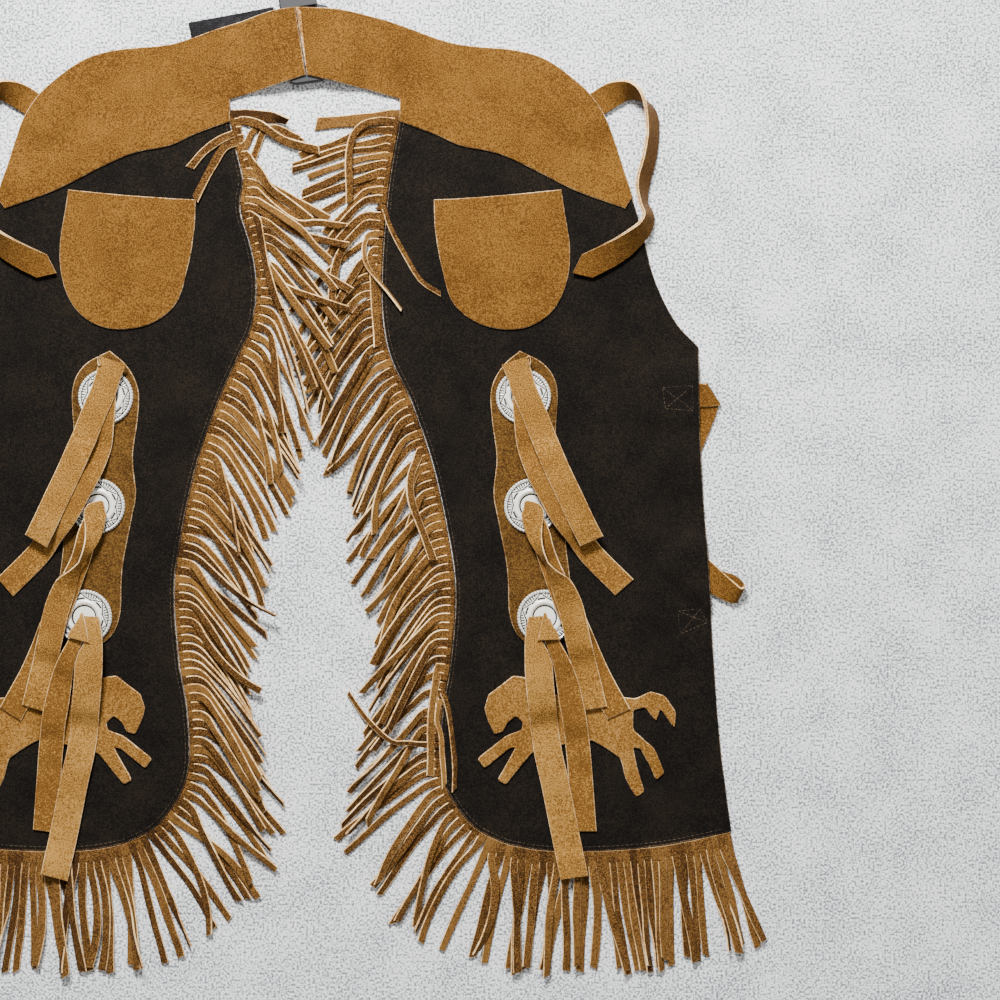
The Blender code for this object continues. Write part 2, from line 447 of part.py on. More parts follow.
class Ground:
    """What lies below, as a height for each small cell, so that each new strip is laid on it."""

    CELL = 0.5
    LOW = (-345.0, -365.0)
    SIZE = (1380, 1460)

    def __init__(self):
        self.height = np.zeros(self.SIZE)

    def window(self, low, high):
        first = [max(0, int((low[k] - self.LOW[k]) / self.CELL) - 1) for k in (0, 1)]
        last = [min(self.SIZE[k], int((high[k] - self.LOW[k]) / self.CELL) + 2) for k in (0, 1)]
        columns, rows = np.meshgrid(np.arange(first[0], last[0]), np.arange(first[1], last[1]), indexing="ij")
        x = self.LOW[0] + (columns + 0.5) * self.CELL
        y = self.LOW[1] + (rows + 0.5) * self.CELL
        return columns, rows, x, y

    def cover(self, polygon, top):
        """Raise the ground to a panel's top."""
        columns, rows, x, y = self.window(polygon.min(axis=0), polygon.max(axis=0))
        within = inside(polygon, x, y)
        columns, rows, x, y = columns[within], rows[within], x[within], y[within]
        self.height[columns, rows] = np.maximum(self.height[columns, rows], top(x, y))

    def stretch(self, a, b, reach):
        """Cells near the stretch from a to b: their indices, share along it and distance across."""
        step = b - a
        size = np.linalg.norm(step)
        ahead = step / size
        across = np.array([-ahead[1], ahead[0]])
        pad = reach + 1.0
        columns, rows, x, y = self.window(np.minimum(a, b) - pad, np.maximum(a, b) + pad)
        share = ((x - a[0]) * ahead[0] + (y - a[1]) * ahead[1]) / size
        off = (x - a[0]) * across[0] + (y - a[1]) * across[1]
        near = (np.abs(off) <= reach) & (share >= -0.4 / size) & (share <= 1 + 0.4 / size)
        return columns[near], rows[near], np.clip(share[near], 0, 1), off[near]

    def lay(self, line, width, raised, lean, steepest, fixed=0, lifts=None, margin=0.25, gap=GAP):
        """How a strip rests on the ground. raised is 1 or -1, the side across the line that may lift.

        Returns the lift of the low side and the slope at each point of the line.
        """
        line = np.array(line, float)
        lift = np.full(len(line), GAP) if lifts is None else np.array(lifts, float)
        slope = np.array(lean, float)
        stretches = []
        for k in range(fixed, len(line) - 1):
            columns, rows, share, off = self.stretch(line[k], line[k + 1], width / 2 + margin)
            below = self.height[columns, rows]
            stretches.append((k, share, off * raised, below + np.where(below > 0, gap, GAP)))
        for k, _, _, need in stretches:
            if steepest == 0 and len(need):
                lift[k:k + 2] = np.maximum(lift[k:k + 2], need.max())
        for _ in range(LAY_ROUNDS if steepest else 0):
            worst = 0.0
            for k, share, off, need in stretches:
                if not len(need):
                    continue
                tilt = slope[k] * (1 - share) + slope[k + 1] * share
                half = width / 2 / np.sqrt(1 + tilt * tilt)
                reach = np.maximum(half + off, 0)
                have = lift[k] * (1 - share) + lift[k + 1] * share + reach * tilt
                lack = need - have
                at = int(np.argmax(lack))
                if lack[at] <= CLOSE_ENOUGH:
                    continue
                worst = max(worst, lack[at])
                ends = np.array([1 - share[at], share[at]])
                push = (lack[at] + CLOSE_ENOUGH / 2) * ends / (ends @ ends)
                pair = slice(k, k + 2)
                if reach[at] > 0.4 * width and slope[pair].max() < steepest:
                    slope[pair] = np.minimum(slope[pair] + push / reach[at], steepest)
                else:
                    lift[pair] += push
            if worst <= CLOSE_ENOUGH:
                break
        return lift, slope

    def pile(self, line, width, thickness, raised, lift, slope, margin=0.25):
        """Raise the ground to the top of a strip that was laid."""
        for k in range(len(line) - 1):
            columns, rows, share, off = self.stretch(line[k], line[k + 1], width / 2 + 2 * margin)
            tilt = slope[k] * (1 - share) + slope[k + 1] * share
            half = width / 2 / np.sqrt(1 + tilt * tilt)
            reach = np.clip(half + off * raised, 0, 2 * half)
            top = lift[k] * (1 - share) + lift[k + 1] * share + reach * tilt
            top += thickness * np.sqrt(1 + tilt * tilt)
            self.height[columns, rows] = np.maximum(self.height[columns, rows], top)


def leg_edges(side):
    """One leg's inner edge and hem in one line, as on the right side, with the fringe's stations on it."""
    line = np.vstack([spline(LEG_INNER)[:-1], spline(LEG_HEM)])
    if side < 0:
        shift = spline(LEFT_INNER_SHIFT)
        line[:, 0] -= np.interp(line[:, 1], shift[:, 0], shift[:, 1])
    total = distances(line)[-1]
    split = distances(spline(LEG_INNER))[-1] - HEM_START
    inner = np.linspace(FIRST_ROOT, split, INNER_STRANDS + 1)
    hem = np.linspace(split + GAP, total - LAST_ROOT, HEM_STRANDS + 1)
    return line, inner, hem


def leg_rim(side):
    """One leg panel's outline, as on the right side, with a point at each root of the fringe."""
    line, inner, hem = leg_edges(side)
    total = distances(line)[-1]
    fringed = along(line, np.concatenate([[0.0], inner, hem, [total]]))
    rest = [evenly(spline(run), RIM_STEP) for run in (LEG_OUTER, LEG_HIP, LEG_TOP)]
    return outline(fringed, *rest)


def direction(degrees):
    """Heading of a strand: degrees from straight down, turning towards the inner side."""
    angle = math.radians(degrees)
    return np.array([-math.sin(angle), -math.cos(angle)])


def strand_line(root, outward, middle, tip, size, shares):
    """Points of one strand that leaves its strip squarely and then droops."""
    start = math.degrees(math.atan2(-outward[0], -outward[1]))
    middle = max(middle, start - MOST_BEND + 6)
    tip = max(tip, start - MOST_BEND)
    steps = 40
    here = np.array(root, float)
    points = [here.copy()]
    for k in range(steps):
        gone = (k + 0.5) / steps * size
        bend = min(1.0, gone / BEND_LENGTH)
        bend = bend * bend * (3 - 2 * bend)
        later = max(0.0, (gone - BEND_LENGTH) / (size - BEND_LENGTH))
        heading = start + (middle - start) * bend + (tip - middle) * later
        here = here + direction(heading) * size / steps
        points.append(here.copy())
    return along(np.array(points), np.array(shares) * size)


def lean_for(line, outward, pitch, width):
    """Slope of each strand, steep enough for its neighbour to lie on it like a louvre."""
    ahead = np.gradient(line, axis=0)
    ahead /= np.linalg.norm(ahead, axis=1)[:, None]
    result = []
    for step in ahead:
        room = pitch * max(0.2, float(step @ outward))
        if width <= room:
            result.append(LIGHTEST)
            continue
        sine = min(0.88, (STRAND_THICK + STRAND_GAP + 0.12) / room)
        result.append(max(LIGHTEST, sine / math.sqrt(1 - sine * sine)))
    result[0] = 0.0
    return result


def strand_way(root, outward, middle, tip, size):
    """A strand as a function that gives its points at any shares of its length."""
    return lambda shares: strand_line(root, outward, middle, tip, size, shares)


def stray_way(root, points, turn):
    """The same for a stray, turned a little about its root."""
    way = spline(np.vstack([[0.0, 0.0], np.array(points) - root]))
    return lambda shares: turned(along(way, np.array(shares) * distances(way)[-1]), root, turn)


def backing(line, stations):
    """Both edges of a right-hand fringe's strip, and the way outward at each station."""
    points = along(line, stations)
    ahead = (along(line, stations + 1.0) - along(line, stations - 1.0))
    ahead[-1] = ahead[-2]
    ahead /= np.linalg.norm(ahead, axis=1)[:, None]
    outward = np.column_stack([ahead[:, 1], -ahead[:, 0]])
    return points + outward * GAP, points + outward * (GAP + STRIP_WIDTH), outward


def laid_strands(side, near, far, outward, hang, by, shares, sway, ground, seed):
    """Lay each strand on what is below it: number, width, pitch, shares, way, lift and slope."""
    random = np.random.default_rng(seed)
    ground.cover(mirrored(np.vstack([near, far[::-1]]), side), flat_at(GAP + STRAND_THICK))
    table = np.array(hang, float)
    table = table[np.argsort(table[:, 0])]
    count = len(far) - 1
    drift = np.convolve(random.normal(0, 1, count + DRIFT_REACH - 1), np.hanning(DRIFT_REACH), mode="valid")
    drift *= sway / drift.std()
    strays = {row[1]: row for row in STRAYS if row[0] == side and by == 1}
    loose = [k for k in random.permutation(count)[:round(LOOSE_SHARE * count)] if k not in strays]
    common = [k for k in range(count) if k not in strays and k not in loose]
    rows = []
    for k in common + loose + list(strays):
        root = (far[k] + far[k + 1]) / 2
        away = (outward[k] + outward[k + 1]) / 2
        place = near[k][by]
        middle, tip, size = (np.interp(place, table[:, 0], table[:, c]) for c in (1, 2, 3))
        middle += drift[k] * DRIFT_MIDDLE + random.normal(0, JITTER)
        tip += drift[k] + random.normal(0, JITTER)
        size *= random.uniform(*LENGTHS)
        width = STRAND_WIDTH * random.uniform(*WIDTHS) * (LOOSE_WIDTH if k in loose else 1.0)
        pitch = float(np.linalg.norm(far[k + 1] - far[k]))
        nodes = shares
        best = None
        for (less_middle, less_tip), turn in zip(SLIDES, STRAY_TURNS):
            if k in strays:
                width = strays[k][2]
                nodes = STRAY_NODES
                way = stray_way(root, strays[k][3], turn)
                lean = [LIGHTEST] * len(nodes)
            elif k in loose:
                way = strand_way(root, away, middle + random.normal(-LOOSE_DOWN, LOOSE_MIDDLE),
                                 tip + random.normal(-LOOSE_DOWN, LOOSE_TIP), size)
                lean = [LIGHTEST] + list(random.uniform(0, LOOSE_LEAN, len(nodes) - 1))
            else:
                way = strand_way(root, away, middle - less_middle, tip - less_tip, size)
                lean = lean_for(way(nodes), away, pitch, width)
            over = k in strays or k in loose
            lift, slope = ground.lay(mirrored(way(nodes), side), width, -side, lean,
                                     STRAY_STEEPEST if over else STEEPEST, fixed=1, margin=SIDE_MARGIN,
                                     gap=GAP if over else STRAND_GAP)
            if best is None or lift.max() < best[1].max():
                best = (way, lift, slope)
            if lift.max() < HIGHEST:
                break
        way, lift, slope = best
        ground.pile(mirrored(way(nodes), side), width, STRAND_THICK, -side, lift, slope, margin=SIDE_MARGIN)
        rows.append((k, width, pitch, nodes, way, lift, slope))
    return rows


def comb(name, side, line, stations, hang, by, shares, sway, ground, seed):
    """A strip along a panel's edge with its strands, as one body."""
    near, far, outward = backing(line, stations)
    low, high = GAP, GAP + STRAND_THICK
    verts = []
    for a, b in zip(mirrored(near, side), mirrored(far, side)):
        verts += [(*a, low), (*a, high), (*b, low), (*b, high)]
    faces = [(0, 1, 3, 2)]
    for k in range(len(stations) - 1):
        a, b = 4 * k, 4 * k + 4
        faces += [(a + 1, b + 1, b + 3, a + 3), (a, a + 2, b + 2, b), (a, b, b + 1, a + 1)]
    end = 4 * (len(stations) - 1)
    faces.append((end, end + 2, end + 3, end + 1))
    rows = laid_strands(side, near, far, outward, hang, by, shares, sway, ground, seed)
    for k, width, pitch, nodes, way, lift, slope in rows:
        route = mirrored(way(nodes), side)
        heading = np.gradient(route, axis=0)
        heading /= np.linalg.norm(heading, axis=1)[:, None]
        aside = np.column_stack([heading[:, 1], -heading[:, 0]]) * side
        before = [4 * k + 2, 4 * k + 6, 4 * k + 7, 4 * k + 3]
        for j in range(1, len(route)):
            cosine = 1 / math.sqrt(1 + slope[j] ** 2)
            sine = slope[j] * cosine
            half = aside[j] * width / 2 * cosine
            rise = width * sine
            thick = np.array([*(-aside[j] * sine), cosine]) * STRAND_THICK
            upper = np.array([*(route[j] + half), lift[j] + rise])
            lower = np.array([*(route[j] - half), lift[j]])
            ring = [upper, lower, lower + thick, upper + thick]
            base = len(verts)
            verts += [tuple(corner) for corner in ring]
            now = [base, base + 1, base + 2, base + 3]
            for m in range(4):
                n = (m + 1) % 4
                faces.append((before[m], before[n], now[n], now[m]))
            before = now
        faces.append(tuple(before))
    return add(name, verts, faces, "tan")


def concho(name, centre, base):
    """A turned ornament with a beaded rim, a raised ring and a sunk middle."""
    x, y = centre
    verts = []
    for radius, height in CONCHO_PROFILE:
        for k in range(CONCHO_SIDES):
            angle = 2 * math.pi * k / CONCHO_SIDES
            verts.append((x + radius * math.cos(angle), y + radius * math.sin(angle), base + height))
    faces = [tuple(range(CONCHO_SIDES - 1, -1, -1))]
    for ring in range(len(CONCHO_PROFILE) - 1):
        start = ring * CONCHO_SIDES
        for k in range(CONCHO_SIDES):
            n = (k + 1) % CONCHO_SIDES
            faces.append((start + k, start + n, start + CONCHO_SIDES + n, start + CONCHO_SIDES + k))
    top = (len(CONCHO_PROFILE) - 1) * CONCHO_SIDES
    faces.append(tuple(range(top, top + CONCHO_SIDES)))
    return add(name, verts, faces, "metal", smooth=True)


def tie(name, width, points, side, ground):
    """One lace end laid on what is below it."""
    line = evenly(spline(mirrored(points, side)), BAND_STEP)
    lift, slope = ground.lay(line, width, 1, [0.0] * len(line), 0.0, margin=TIE_MARGIN)
    ground.pile(line, width, SUEDE, 1, lift, slope, margin=TIE_MARGIN)
    way = np.gradient(line, axis=0)
    way /= np.linalg.norm(way, axis=1)[:, None]
    aside = np.column_stack([-way[:, 1], way[:, 0], np.zeros(len(way))]) * width / 2
    centres = np.column_stack([line, lift + SUEDE / 2])
    return ribbon(name, centres, aside, SUEDE, "tan")


def hip_strap(name, side):
    """The doubled strap that loops out from under the yoke and lies back on the leg."""
    centres, halves = hip_strap_rings(side, HIP_STRAP_STEP)
    return ribbon(name, centres, halves, DOUBLED, "tan", point=HIP_STRAP_POINT)


def strap(name, rows, side):
    rows = np.array(rows, float)
    centres = mirrored(rows[:, :3], side)
    return ribbon(name, centres, mirrored(rows[:, 3:], side), SUEDE, "tan")


def webbing(name, width, points):
    line = evenly(spline(points), WEBBING_STEP)
    way = np.gradient(line, axis=0)
    way /= np.linalg.norm(way, axis=1)[:, None]
    aside = np.column_stack([-way[:, 1], way[:, 0], np.zeros(len(way))]) * width / 2
    centres = np.column_stack([line, np.full(len(line), WEBBING_THICK / 2)])
    return ribbon(name, centres, aside, WEBBING_THICK, "webbing")


def buckle_half(name, points):
    """One half of the closed side-release buckle, with softened edges."""
    rim = turned(points, BUCKLE_CENTRE, BUCKLE_TURN)
    piece = panel(name, rim, [], flat_at(0.0), "plastic", BUCKLE_THICK)
    bevel = piece.modifiers.new("soft edges", "BEVEL")
    bevel.width = 0.8 * MM
    bevel.segments = 1
    bevel.limit_method = "ANGLE"
    bevel.angle_limit = math.radians(60)
    return piece


def yoke_rim(side, step=RIM_STEP):
    """Outline of one yoke; the left one crosses the middle, up to the join."""
    upper = spline(YOKE_UPPER)
    belt = spline(BELT_LOWER)
    if side > 0:
        return outline(*[evenly(run, step) for run in (
            upper, spline(YOKE_TIP), spline(YOKE_LOWER), spline(YOKE_NOTCH), belt, spline(JOIN_RIGHT))])
    top = mirrored(YOKE_UPPER[2:], -1)
    top = np.vstack([[JOIN_LEFT[0]], [(-27.0, 330.4)], top])
    lower = np.vstack([mirrored(BELT_LOWER[:2], -1), [JOIN_LEFT[1]]])
    runs = [spline(top), mirrored(spline(YOKE_TIP), -1), mirrored(spline(YOKE_LOWER), -1),
            mirrored(spline(YOKE_NOTCH), -1), spline(lower), spline(JOIN_LEFT[::-1])]
    return outline(*[evenly(run, step) for run in runs])


def over_straps(side):
    """Underside of the leg panel, lifted over the straps sewn beneath it."""
    rows = [(STRAP_1[:3], STRAP_1_RISE), (STRAP_1[6:], STRAP_1_BACK_RISE), (STRAP_2[:4], STRAP_2_RISE)]
    return draped([(box_round(mirrored(np.array(row)[:, :3], side), STRAP_COVER), *rise) for row, rise in rows])


def over_belt(side, rim):
    """Underside of the yoke, lifted over the leg panel, the hip strap, the webbing and the buckle."""
    root = box_round(mirrored(np.array(HIP_STRAP)[:3, :2], side), HIP_STRAP_WIDTH)
    covers = [(rim, LAYER, *OVER_PANEL), (root, DOUBLED + 2 * GAP, *OVER_STRAP)]
    for _, width, points in WEBBING:
        covers.append((box_round(points, width), WEBBING_THICK + GAP, *OVER_WEBBING))
    for points in (BUCKLE_SOCKET, BUCKLE_PLUG):
        covers.append((turned(points, BUCKLE_CENTRE, BUCKLE_TURN), BUCKLE_THICK + 2 * GAP, *OVER_BUCKLE))
    return draped(covers)


def pocket_rim(side, step=TRIM_STEP, mouth_step=MOUTH_STEP):
    return mirrored(outline(evenly(spline(POCKET_SIDE), step), evenly(spline(POCKET_MOUTH), mouth_step)), side)


def puffed(side):
    """Underside of the pocket, standing off the leg a little near its mouth."""
    middle = pocket_rim(side).mean(axis=0)[0]
    return lambda x, y: LAYER + POCKET_PUFF * np.exp(
        -((x - middle) / PUFF_REACH) ** 2 - ((y - PUFF_Y) / PUFF_REACH) ** 2)


def hip_strap_rings(side, step):
    """Centre and half width of each ring of the hip strap; the rings are closer where it twists."""
    rows = np.maximum(evenly(spline(HIP_STRAP), step), 0.0)
    line = mirrored(rows[:, :2], side)
    way = np.gradient(line, axis=0)
    way /= np.linalg.norm(way, axis=1)[:, None]
    aside = np.column_stack([-way[:, 1], way[:, 0]]) * side
    lean = np.radians(rows[:, 3])
    halves = np.column_stack([aside * np.cos(lean)[:, None], np.sin(lean)]) * HIP_STRAP_WIDTH / 2
    height = rows[:, 2] + halves[:, 2] + DOUBLED / 2 * np.abs(np.cos(lean))
    return np.column_stack([line, height]), halves


def concho_cover(centre):
    angles = np.linspace(0, 2 * math.pi, 32, endpoint=False)
    return np.array(centre) + CONCHO_COVER * np.column_stack([np.cos(angles), np.sin(angles)])


def build_leg(side, word, ground):
    """Everything of one leg except its fringe."""
    rim = mirrored(leg_rim(side), side)
    under = over_straps(side)
    patch = [(x + dx, y + dy) for x, y in FINE_SPOTS for dx in FINE_X for dy in FINE_Y]
    patch = mirrored(patch, side)
    sparse = grid_inside(rim, PANEL_GRID)
    apart = [np.min(np.linalg.norm(patch - point, axis=1)) > FINE_CLEAR for point in sparse]
    in_rim = inside(rim, patch[:, 0], patch[:, 1])
    panel(f"leg_panel_{word}", rim, np.vstack([sparse[apart], patch[in_rim]]), under, "dark")
    ground.cover(rim, lambda x, y: under(x, y) + SUEDE)
    strap(f"leg_strap_upper_{word}", STRAP_1, side)
    strap(f"leg_strap_lower_{word}", STRAP_2, side)

    over = over_belt(side, rim)
    yoke = yoke_rim(side)
    panel(f"yoke_{word}", yoke, grid_inside(yoke, YOKE_GRID), over, "tan")
    ground.cover(yoke, lambda x, y: over(x, y) + SUEDE)

    pocket = pocket_rim(side)
    panel(f"pocket_{word}", pocket, grid_inside(pocket, POCKET_GRID), puffed(side), "tan")
    strip = mirrored(evenly(spline(STRIP_EDGE), TRIM_STEP)[:-1], side)
    panel(f"concho_strip_{word}", strip, [], flat_at(LAYER), "tan")
    ground.cover(strip, flat_at(LAYER + SUEDE))
    horse = mirrored(np.array(HORSE, float) + np.array(HORSE_CORNER), side)
    panel(f"horse_{word}", horse, [], flat_at(LAYER), "tan")
    ground.cover(horse, flat_at(LAYER + SUEDE))
    for number, centre in enumerate(mirrored(CONCHOS, side), 1):
        concho(f"concho_{number}_{word}", centre, 2 * LAYER)
        ground.cover(concho_cover(centre), flat_at(2 * LAYER + CONCHO_TOP))
    hip_strap(f"hip_strap_{word}", side)


def build():
    for old in list(bpy.data.objects):
        bpy.data.objects.remove(old, do_unlink=True)
    ground = Ground()
    for side, word, hang, seeds in SIDES:
        build_leg(side, word, ground)
        line, inner, hem = leg_edges(side)
        comb(f"fringe_hem_{word}", side, line, hem, HANG_HEM, 0, HEM_NODES, HEM_SWAY, ground, seeds[1])
        for name, width, points in TIES:
            tie(f"{name}_{word}", width, points, side, ground)
    for side, word, hang, seeds in SIDES:
        line, inner, hem = leg_edges(side)
        comb(f"fringe_inner_{word}", side, line, inner, hang, 1, STRAND_NODES, SWAY, ground, seeds[0])
    for name, width, points in WEBBING:
        webbing(name, width, points)
    buckle_half("buckle_socket", BUCKLE_SOCKET)
    buckle_half("buckle_plug", BUCKLE_PLUG)


build()
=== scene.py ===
"""Looks of the fringed suede chaps, laid flat on a pale felt surface and seen from straight above."""
import math

import bmesh
import bpy
import numpy as np
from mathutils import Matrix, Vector
from mathutils.geometry import delaunay_2d_cdt


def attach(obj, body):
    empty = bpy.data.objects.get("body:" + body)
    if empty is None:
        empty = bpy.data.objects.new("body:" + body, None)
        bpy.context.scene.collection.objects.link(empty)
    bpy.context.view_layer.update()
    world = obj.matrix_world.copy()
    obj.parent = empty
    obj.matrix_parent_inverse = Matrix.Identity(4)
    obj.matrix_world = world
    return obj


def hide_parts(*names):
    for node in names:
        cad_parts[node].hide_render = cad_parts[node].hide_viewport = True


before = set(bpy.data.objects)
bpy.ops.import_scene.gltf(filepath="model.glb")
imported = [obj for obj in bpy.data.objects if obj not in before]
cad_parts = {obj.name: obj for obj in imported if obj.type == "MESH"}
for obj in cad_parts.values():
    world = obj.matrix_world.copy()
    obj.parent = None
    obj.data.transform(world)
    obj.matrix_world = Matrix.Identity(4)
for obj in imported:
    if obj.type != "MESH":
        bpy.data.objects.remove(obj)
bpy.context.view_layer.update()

# Sizes in millimetres. X runs across the chaps, Y up towards the belt, Z up from the surface.
MM = 0.001
SUEDE = 1.4
GAP = 0.3
LAYER = SUEDE + GAP
RIM_STEP = 12.0

# Leg panel of the right side, each edge a smooth run through its points: x, y
LEG_INNER = [(61, 264), (59, 250), (51.9, 208), (47.4, 155), (47.6, 118), (53.4, 88.6), (68.2, 56.5),
             (83.6, 10.9), (94.9, -42.7), (98.6, -78), (95.1, -125), (89.6, -158), (88.2, -196), (95, -218),
             (112, -240), (134, -251.5)]
LEG_HEM = [(134, -251.5), (160, -255.8), (200, -256.2), (245, -252.3), (291.4, -242.8)]
LEG_OUTER = [(291.4, -242.8), (284.9, -193.2), (280.4, -145), (275.4, -60), (270.4, 10), (268.5, 58.8),
             (268.5, 95.6)]
LEG_HIP = [(268.5, 95.6), (252.1, 113.8), (238, 142), (230.1, 172), (222.5, 198), (217, 206)]
LEG_TOP = [(217, 206), (182, 221), (130.5, 246), (95, 254), (61, 264)]
# How far the left leg's inner edge lies nearer the middle than the right one's mirror image: y, shift
LEFT_INNER_SHIFT = [(60, 0), (79, -1), (92, -0.3), (106, 3.3), (119, 4.8), (132, 5.5), (146, 5.4), (159, 4),
                    (173, 1.3), (186, -1.9), (194, -2.4), (200, -1.5), (213, 2), (228, 1), (245, 0)]

# Right yoke with its half of the belt: x, y
YOKE_UPPER = [(-12.9, 332.4), (13.3, 331.5), (40, 326.8), (68, 318), (98.7, 308), (142.7, 303.1),
              (167, 294), (191.9, 272.8), (206, 250), (217, 217.4), (222.3, 200.7)]
YOKE_TIP = [(222.3, 200.7), (217, 192.4)]
YOKE_LOWER = [(217, 192.4), (182, 205.2), (151.8, 220.4), (128, 231), (101.6, 236.6), (83.4, 244.7),
              (59.4, 253.4)]
YOKE_NOTCH = [(59.4, 253.4), (59.4, 269.2)]
BELT_LOWER = [(59.4, 269.2), (33.3, 276.5), (-4.9, 285)]
JOIN_RIGHT = [(-4.9, 285), (-12.9, 332.4)]
# The left belt end reaches across the middle of the chaps, up to the join
JOIN_LEFT = [(-13.4, 332.6), (-6, 285.2)]
LEFT_BELT_TOP = (-27.0, 330.4)

# Pocket and concho strip of the right leg: x, y
POCKET_SIDE = [(83.2, 198.8), (84.3, 176), (89, 150.5), (97, 126), (115, 112), (137, 107.9), (155, 112.4),
               (168.5, 124), (176.6, 143), (178.2, 166), (174.3, 192.5), (172.4, 205.8)]
POCKET_MOUTH = [(172.4, 205.8), (140, 202.6), (106, 199.9), (83.2, 198.8)]
# The pocket stands off the panel most here: height, reach, y
POCKET_PUFF = 1.0
PUFF_REACH = 26.0
PUFF_Y = 185.0
TRIM_STEP = 9.0
MOUTH_STEP = 11.0
STRIP_EDGE = [(143.3, 93.2), (131, 82), (123.4, 66), (123.8, 45), (127.2, 18), (125, -7), (128.5, -27),
              (134.6, -60), (136, -90), (142.5, -106.5), (155, -113.8), (168, -110.5), (177, -98),
              (178.9, -72), (175.8, -45), (175.6, -25), (172, 2), (168.5, 31), (169.4, 66), (161, 83),
              (143.3, 93.2)]

# Running horse, drawn in its own box of 140 by 85: x, y from the lower left corner
HORSE_CORNER = (113.6, -219.0)
HORSE = [(12, 44), (18, 46), (21, 52), (27, 57), (32, 52), (31, 47), (20, 43), (0, 27), (5, 20), (22, 34),
         (27, 35), (14, 12), (20, 9), (29, 20), (38, 31), (56, 36), (80, 40), (92, 33), (100, 27),
         (104, 12), (111, 0), (117, 4), (112, 20), (109, 35), (114, 34), (121, 21), (125, 12), (131, 17),
         (124, 34), (109, 47), (109, 61), (117, 63), (125, 53), (128, 62), (138, 48), (139, 60), (131, 71),
         (121, 74), (111, 69), (101, 70), (80, 68), (58, 70), (44, 78), (33, 84), (25, 85), (16, 78),
         (8, 72), (5, 62), (8, 52)]

# Conchos: centre x, y; the turned profile below is radius, height above the strip
CONCHOS = [(145.9, 60.9), (151.6, -15.4), (160.7, -93.1)]
CONCHO_PROFILE = [(18.6, 0), (19.2, 0.9), (17.6, 2), (12.6, 1.6), (11.8, 2.8), (9.6, 2.7), (8.4, 1.7)]
CONCHO_TOP = max(height for _, height in CONCHO_PROFILE)
CONCHO_COVER = 19.6

# Lace ends in the order that they are laid: name, width, tone against the others, centre line x, y from
# the concho down
TIES = [
    ("tie_2_under", 17.5, -0.08, [(150.5, -14), (157, -31), (161, -47), (167.5, -64), (176, -84),
                                  (186.5, -108), (198, -134), (212.5, -160.8)]),
    ("tie_2_upper", 17.5, -0.01, [(147.5, -12), (152, -20), (152.5, -30), (155, -41), (160.5, -52),
                                  (166.6, -62.3), (172.2, -70.5), (177.2, -82), (180.3, -92), (184, -109),
                                  (189.5, -131.5), (195.6, -156.8)]),
    ("tie_1_under", 17, -0.04, [(143.5, 80), (144.2, 59), (146.3, 42), (149, 27), (155.5, 9),
                                (163.6, -5.7), (173, -22), (184, -36), (194.5, -50.3), (216.5, -72.3)]),
    ("tie_1_upper", 17.5, 0, [(139.8, 86), (142.5, 77.7), (146.7, 64.4), (153.9, 47.8), (160.6, 30.5),
                              (168.7, 11.2), (178.9, -10.3), (186.9, -27.3), (193.4, -39.9)]),
    ("tie_3_under", 17, -0.05, [(160.5, -95), (165.5, -112), (171.5, -126), (176.5, -142), (181, -162),
                                (184.5, -190), (188.5, -242.9)]),
    ("tie_3_upper", 19.5, 0.03, [(156.3, -92), (157, -104), (156.4, -118), (156.8, -134), (159, -156),
                                 (162.5, -184), (168, -209.3), (173.6, -237.3), (181.3, -274.7)]),
]

# Leg straps sewn under the outer edge, as stations: x, y, z and the half width's x, y, z
TURN = LAYER / 2
STRAP_1 = [(241.5, 61, 0.7, 0, 8.4, 0), (256, 61.3, 0.9, 0, 8.4, 0), (269.5, 62, 2.4, -1, 8.4, 0),
           (277.3, 62.3, 2.4, -5.05, 7.5, 0), (278.2, 62.9, TURN + 0.7, -5.05, 7.5, 0),
           (277.3, 62.3, 0.7, -5.05, 7.5, 0), (271, 47, 0.7, -7.8, 3.2, 0), (256, 10.5, 0.7, -7.8, 3.2, 0)]
STRAP_2 = [(260, -50.3, 2.4, 5.7, 6.4, 0), (271, -60.2, 2.4, 5.7, 6.4, 0), (280.6, -69, 3.4, 5.5, 6.4, 1),
           (288.6, -74.6, 4.9, 4.2, 6, 2.5), (294.6, -77.8, 5.6, 2.9, 5.4, 3.2),
           (297.6, -77, 4.2, 2.7, 6, 2.6), (296.4, -74.8, 2.2, 2.5, 6.8, 1.3),
           (290.5, -71.2, 1, 2.8, 7.7, 0.2), (282, -68.4, 0.7, 4, 7.3, 0), (268, -60, 0.7, 5, 6.8, 0),
           (258, -52, 0.7, 5.4, 6.5, 0)]

# How the leg panel rises over the leg straps: height, clear margin, falloff
STRAP_COVER = 17.0
STRAP_1_RISE = (3.6, 6.0, 16.0)
STRAP_1_BACK_RISE = (1.9, 7.0, 14.0)
STRAP_2_RISE = (4.2, 5.0, 10.0)

# Hip strap, two layers thick, on edge where it loops out from under the yoke: x, y, height of its lower
# edge, lean in degrees; its outer edge is the upper one, and past 90 that leans in over the loop
HIP_STRAP = [(181, 257, 0, 0), (190, 262, 0, 0), (197.6, 265.8, 0, 0), (204, 269.8, 0, 5),
             (210, 272.6, 0.3, 24), (219.1, 273.8, 0.3, 52), (228, 269.3, 0.3, 88),
             (234.5, 258.6, 0.3, 116), (235.5, 243.2, 0.3, 118), (233.1, 226.5, 0.3, 120),
             (228.8, 209.7, 0.3, 120), (229.1, 196.1, 0.4, 109), (232.7, 187.2, 0.8, 114),
             (229.8, 178.2, 1.6, 124), (222.4, 170.9, 2.1, 136), (214.4, 164.8, 2, 148),
             (203.5, 158.5, 1.9, 160), (190.3, 152.1, 1.8, 170)]
HIP_STRAP_WIDTH = 17.5
HIP_STRAP_POINT = 11.0
DOUBLED = 2.6
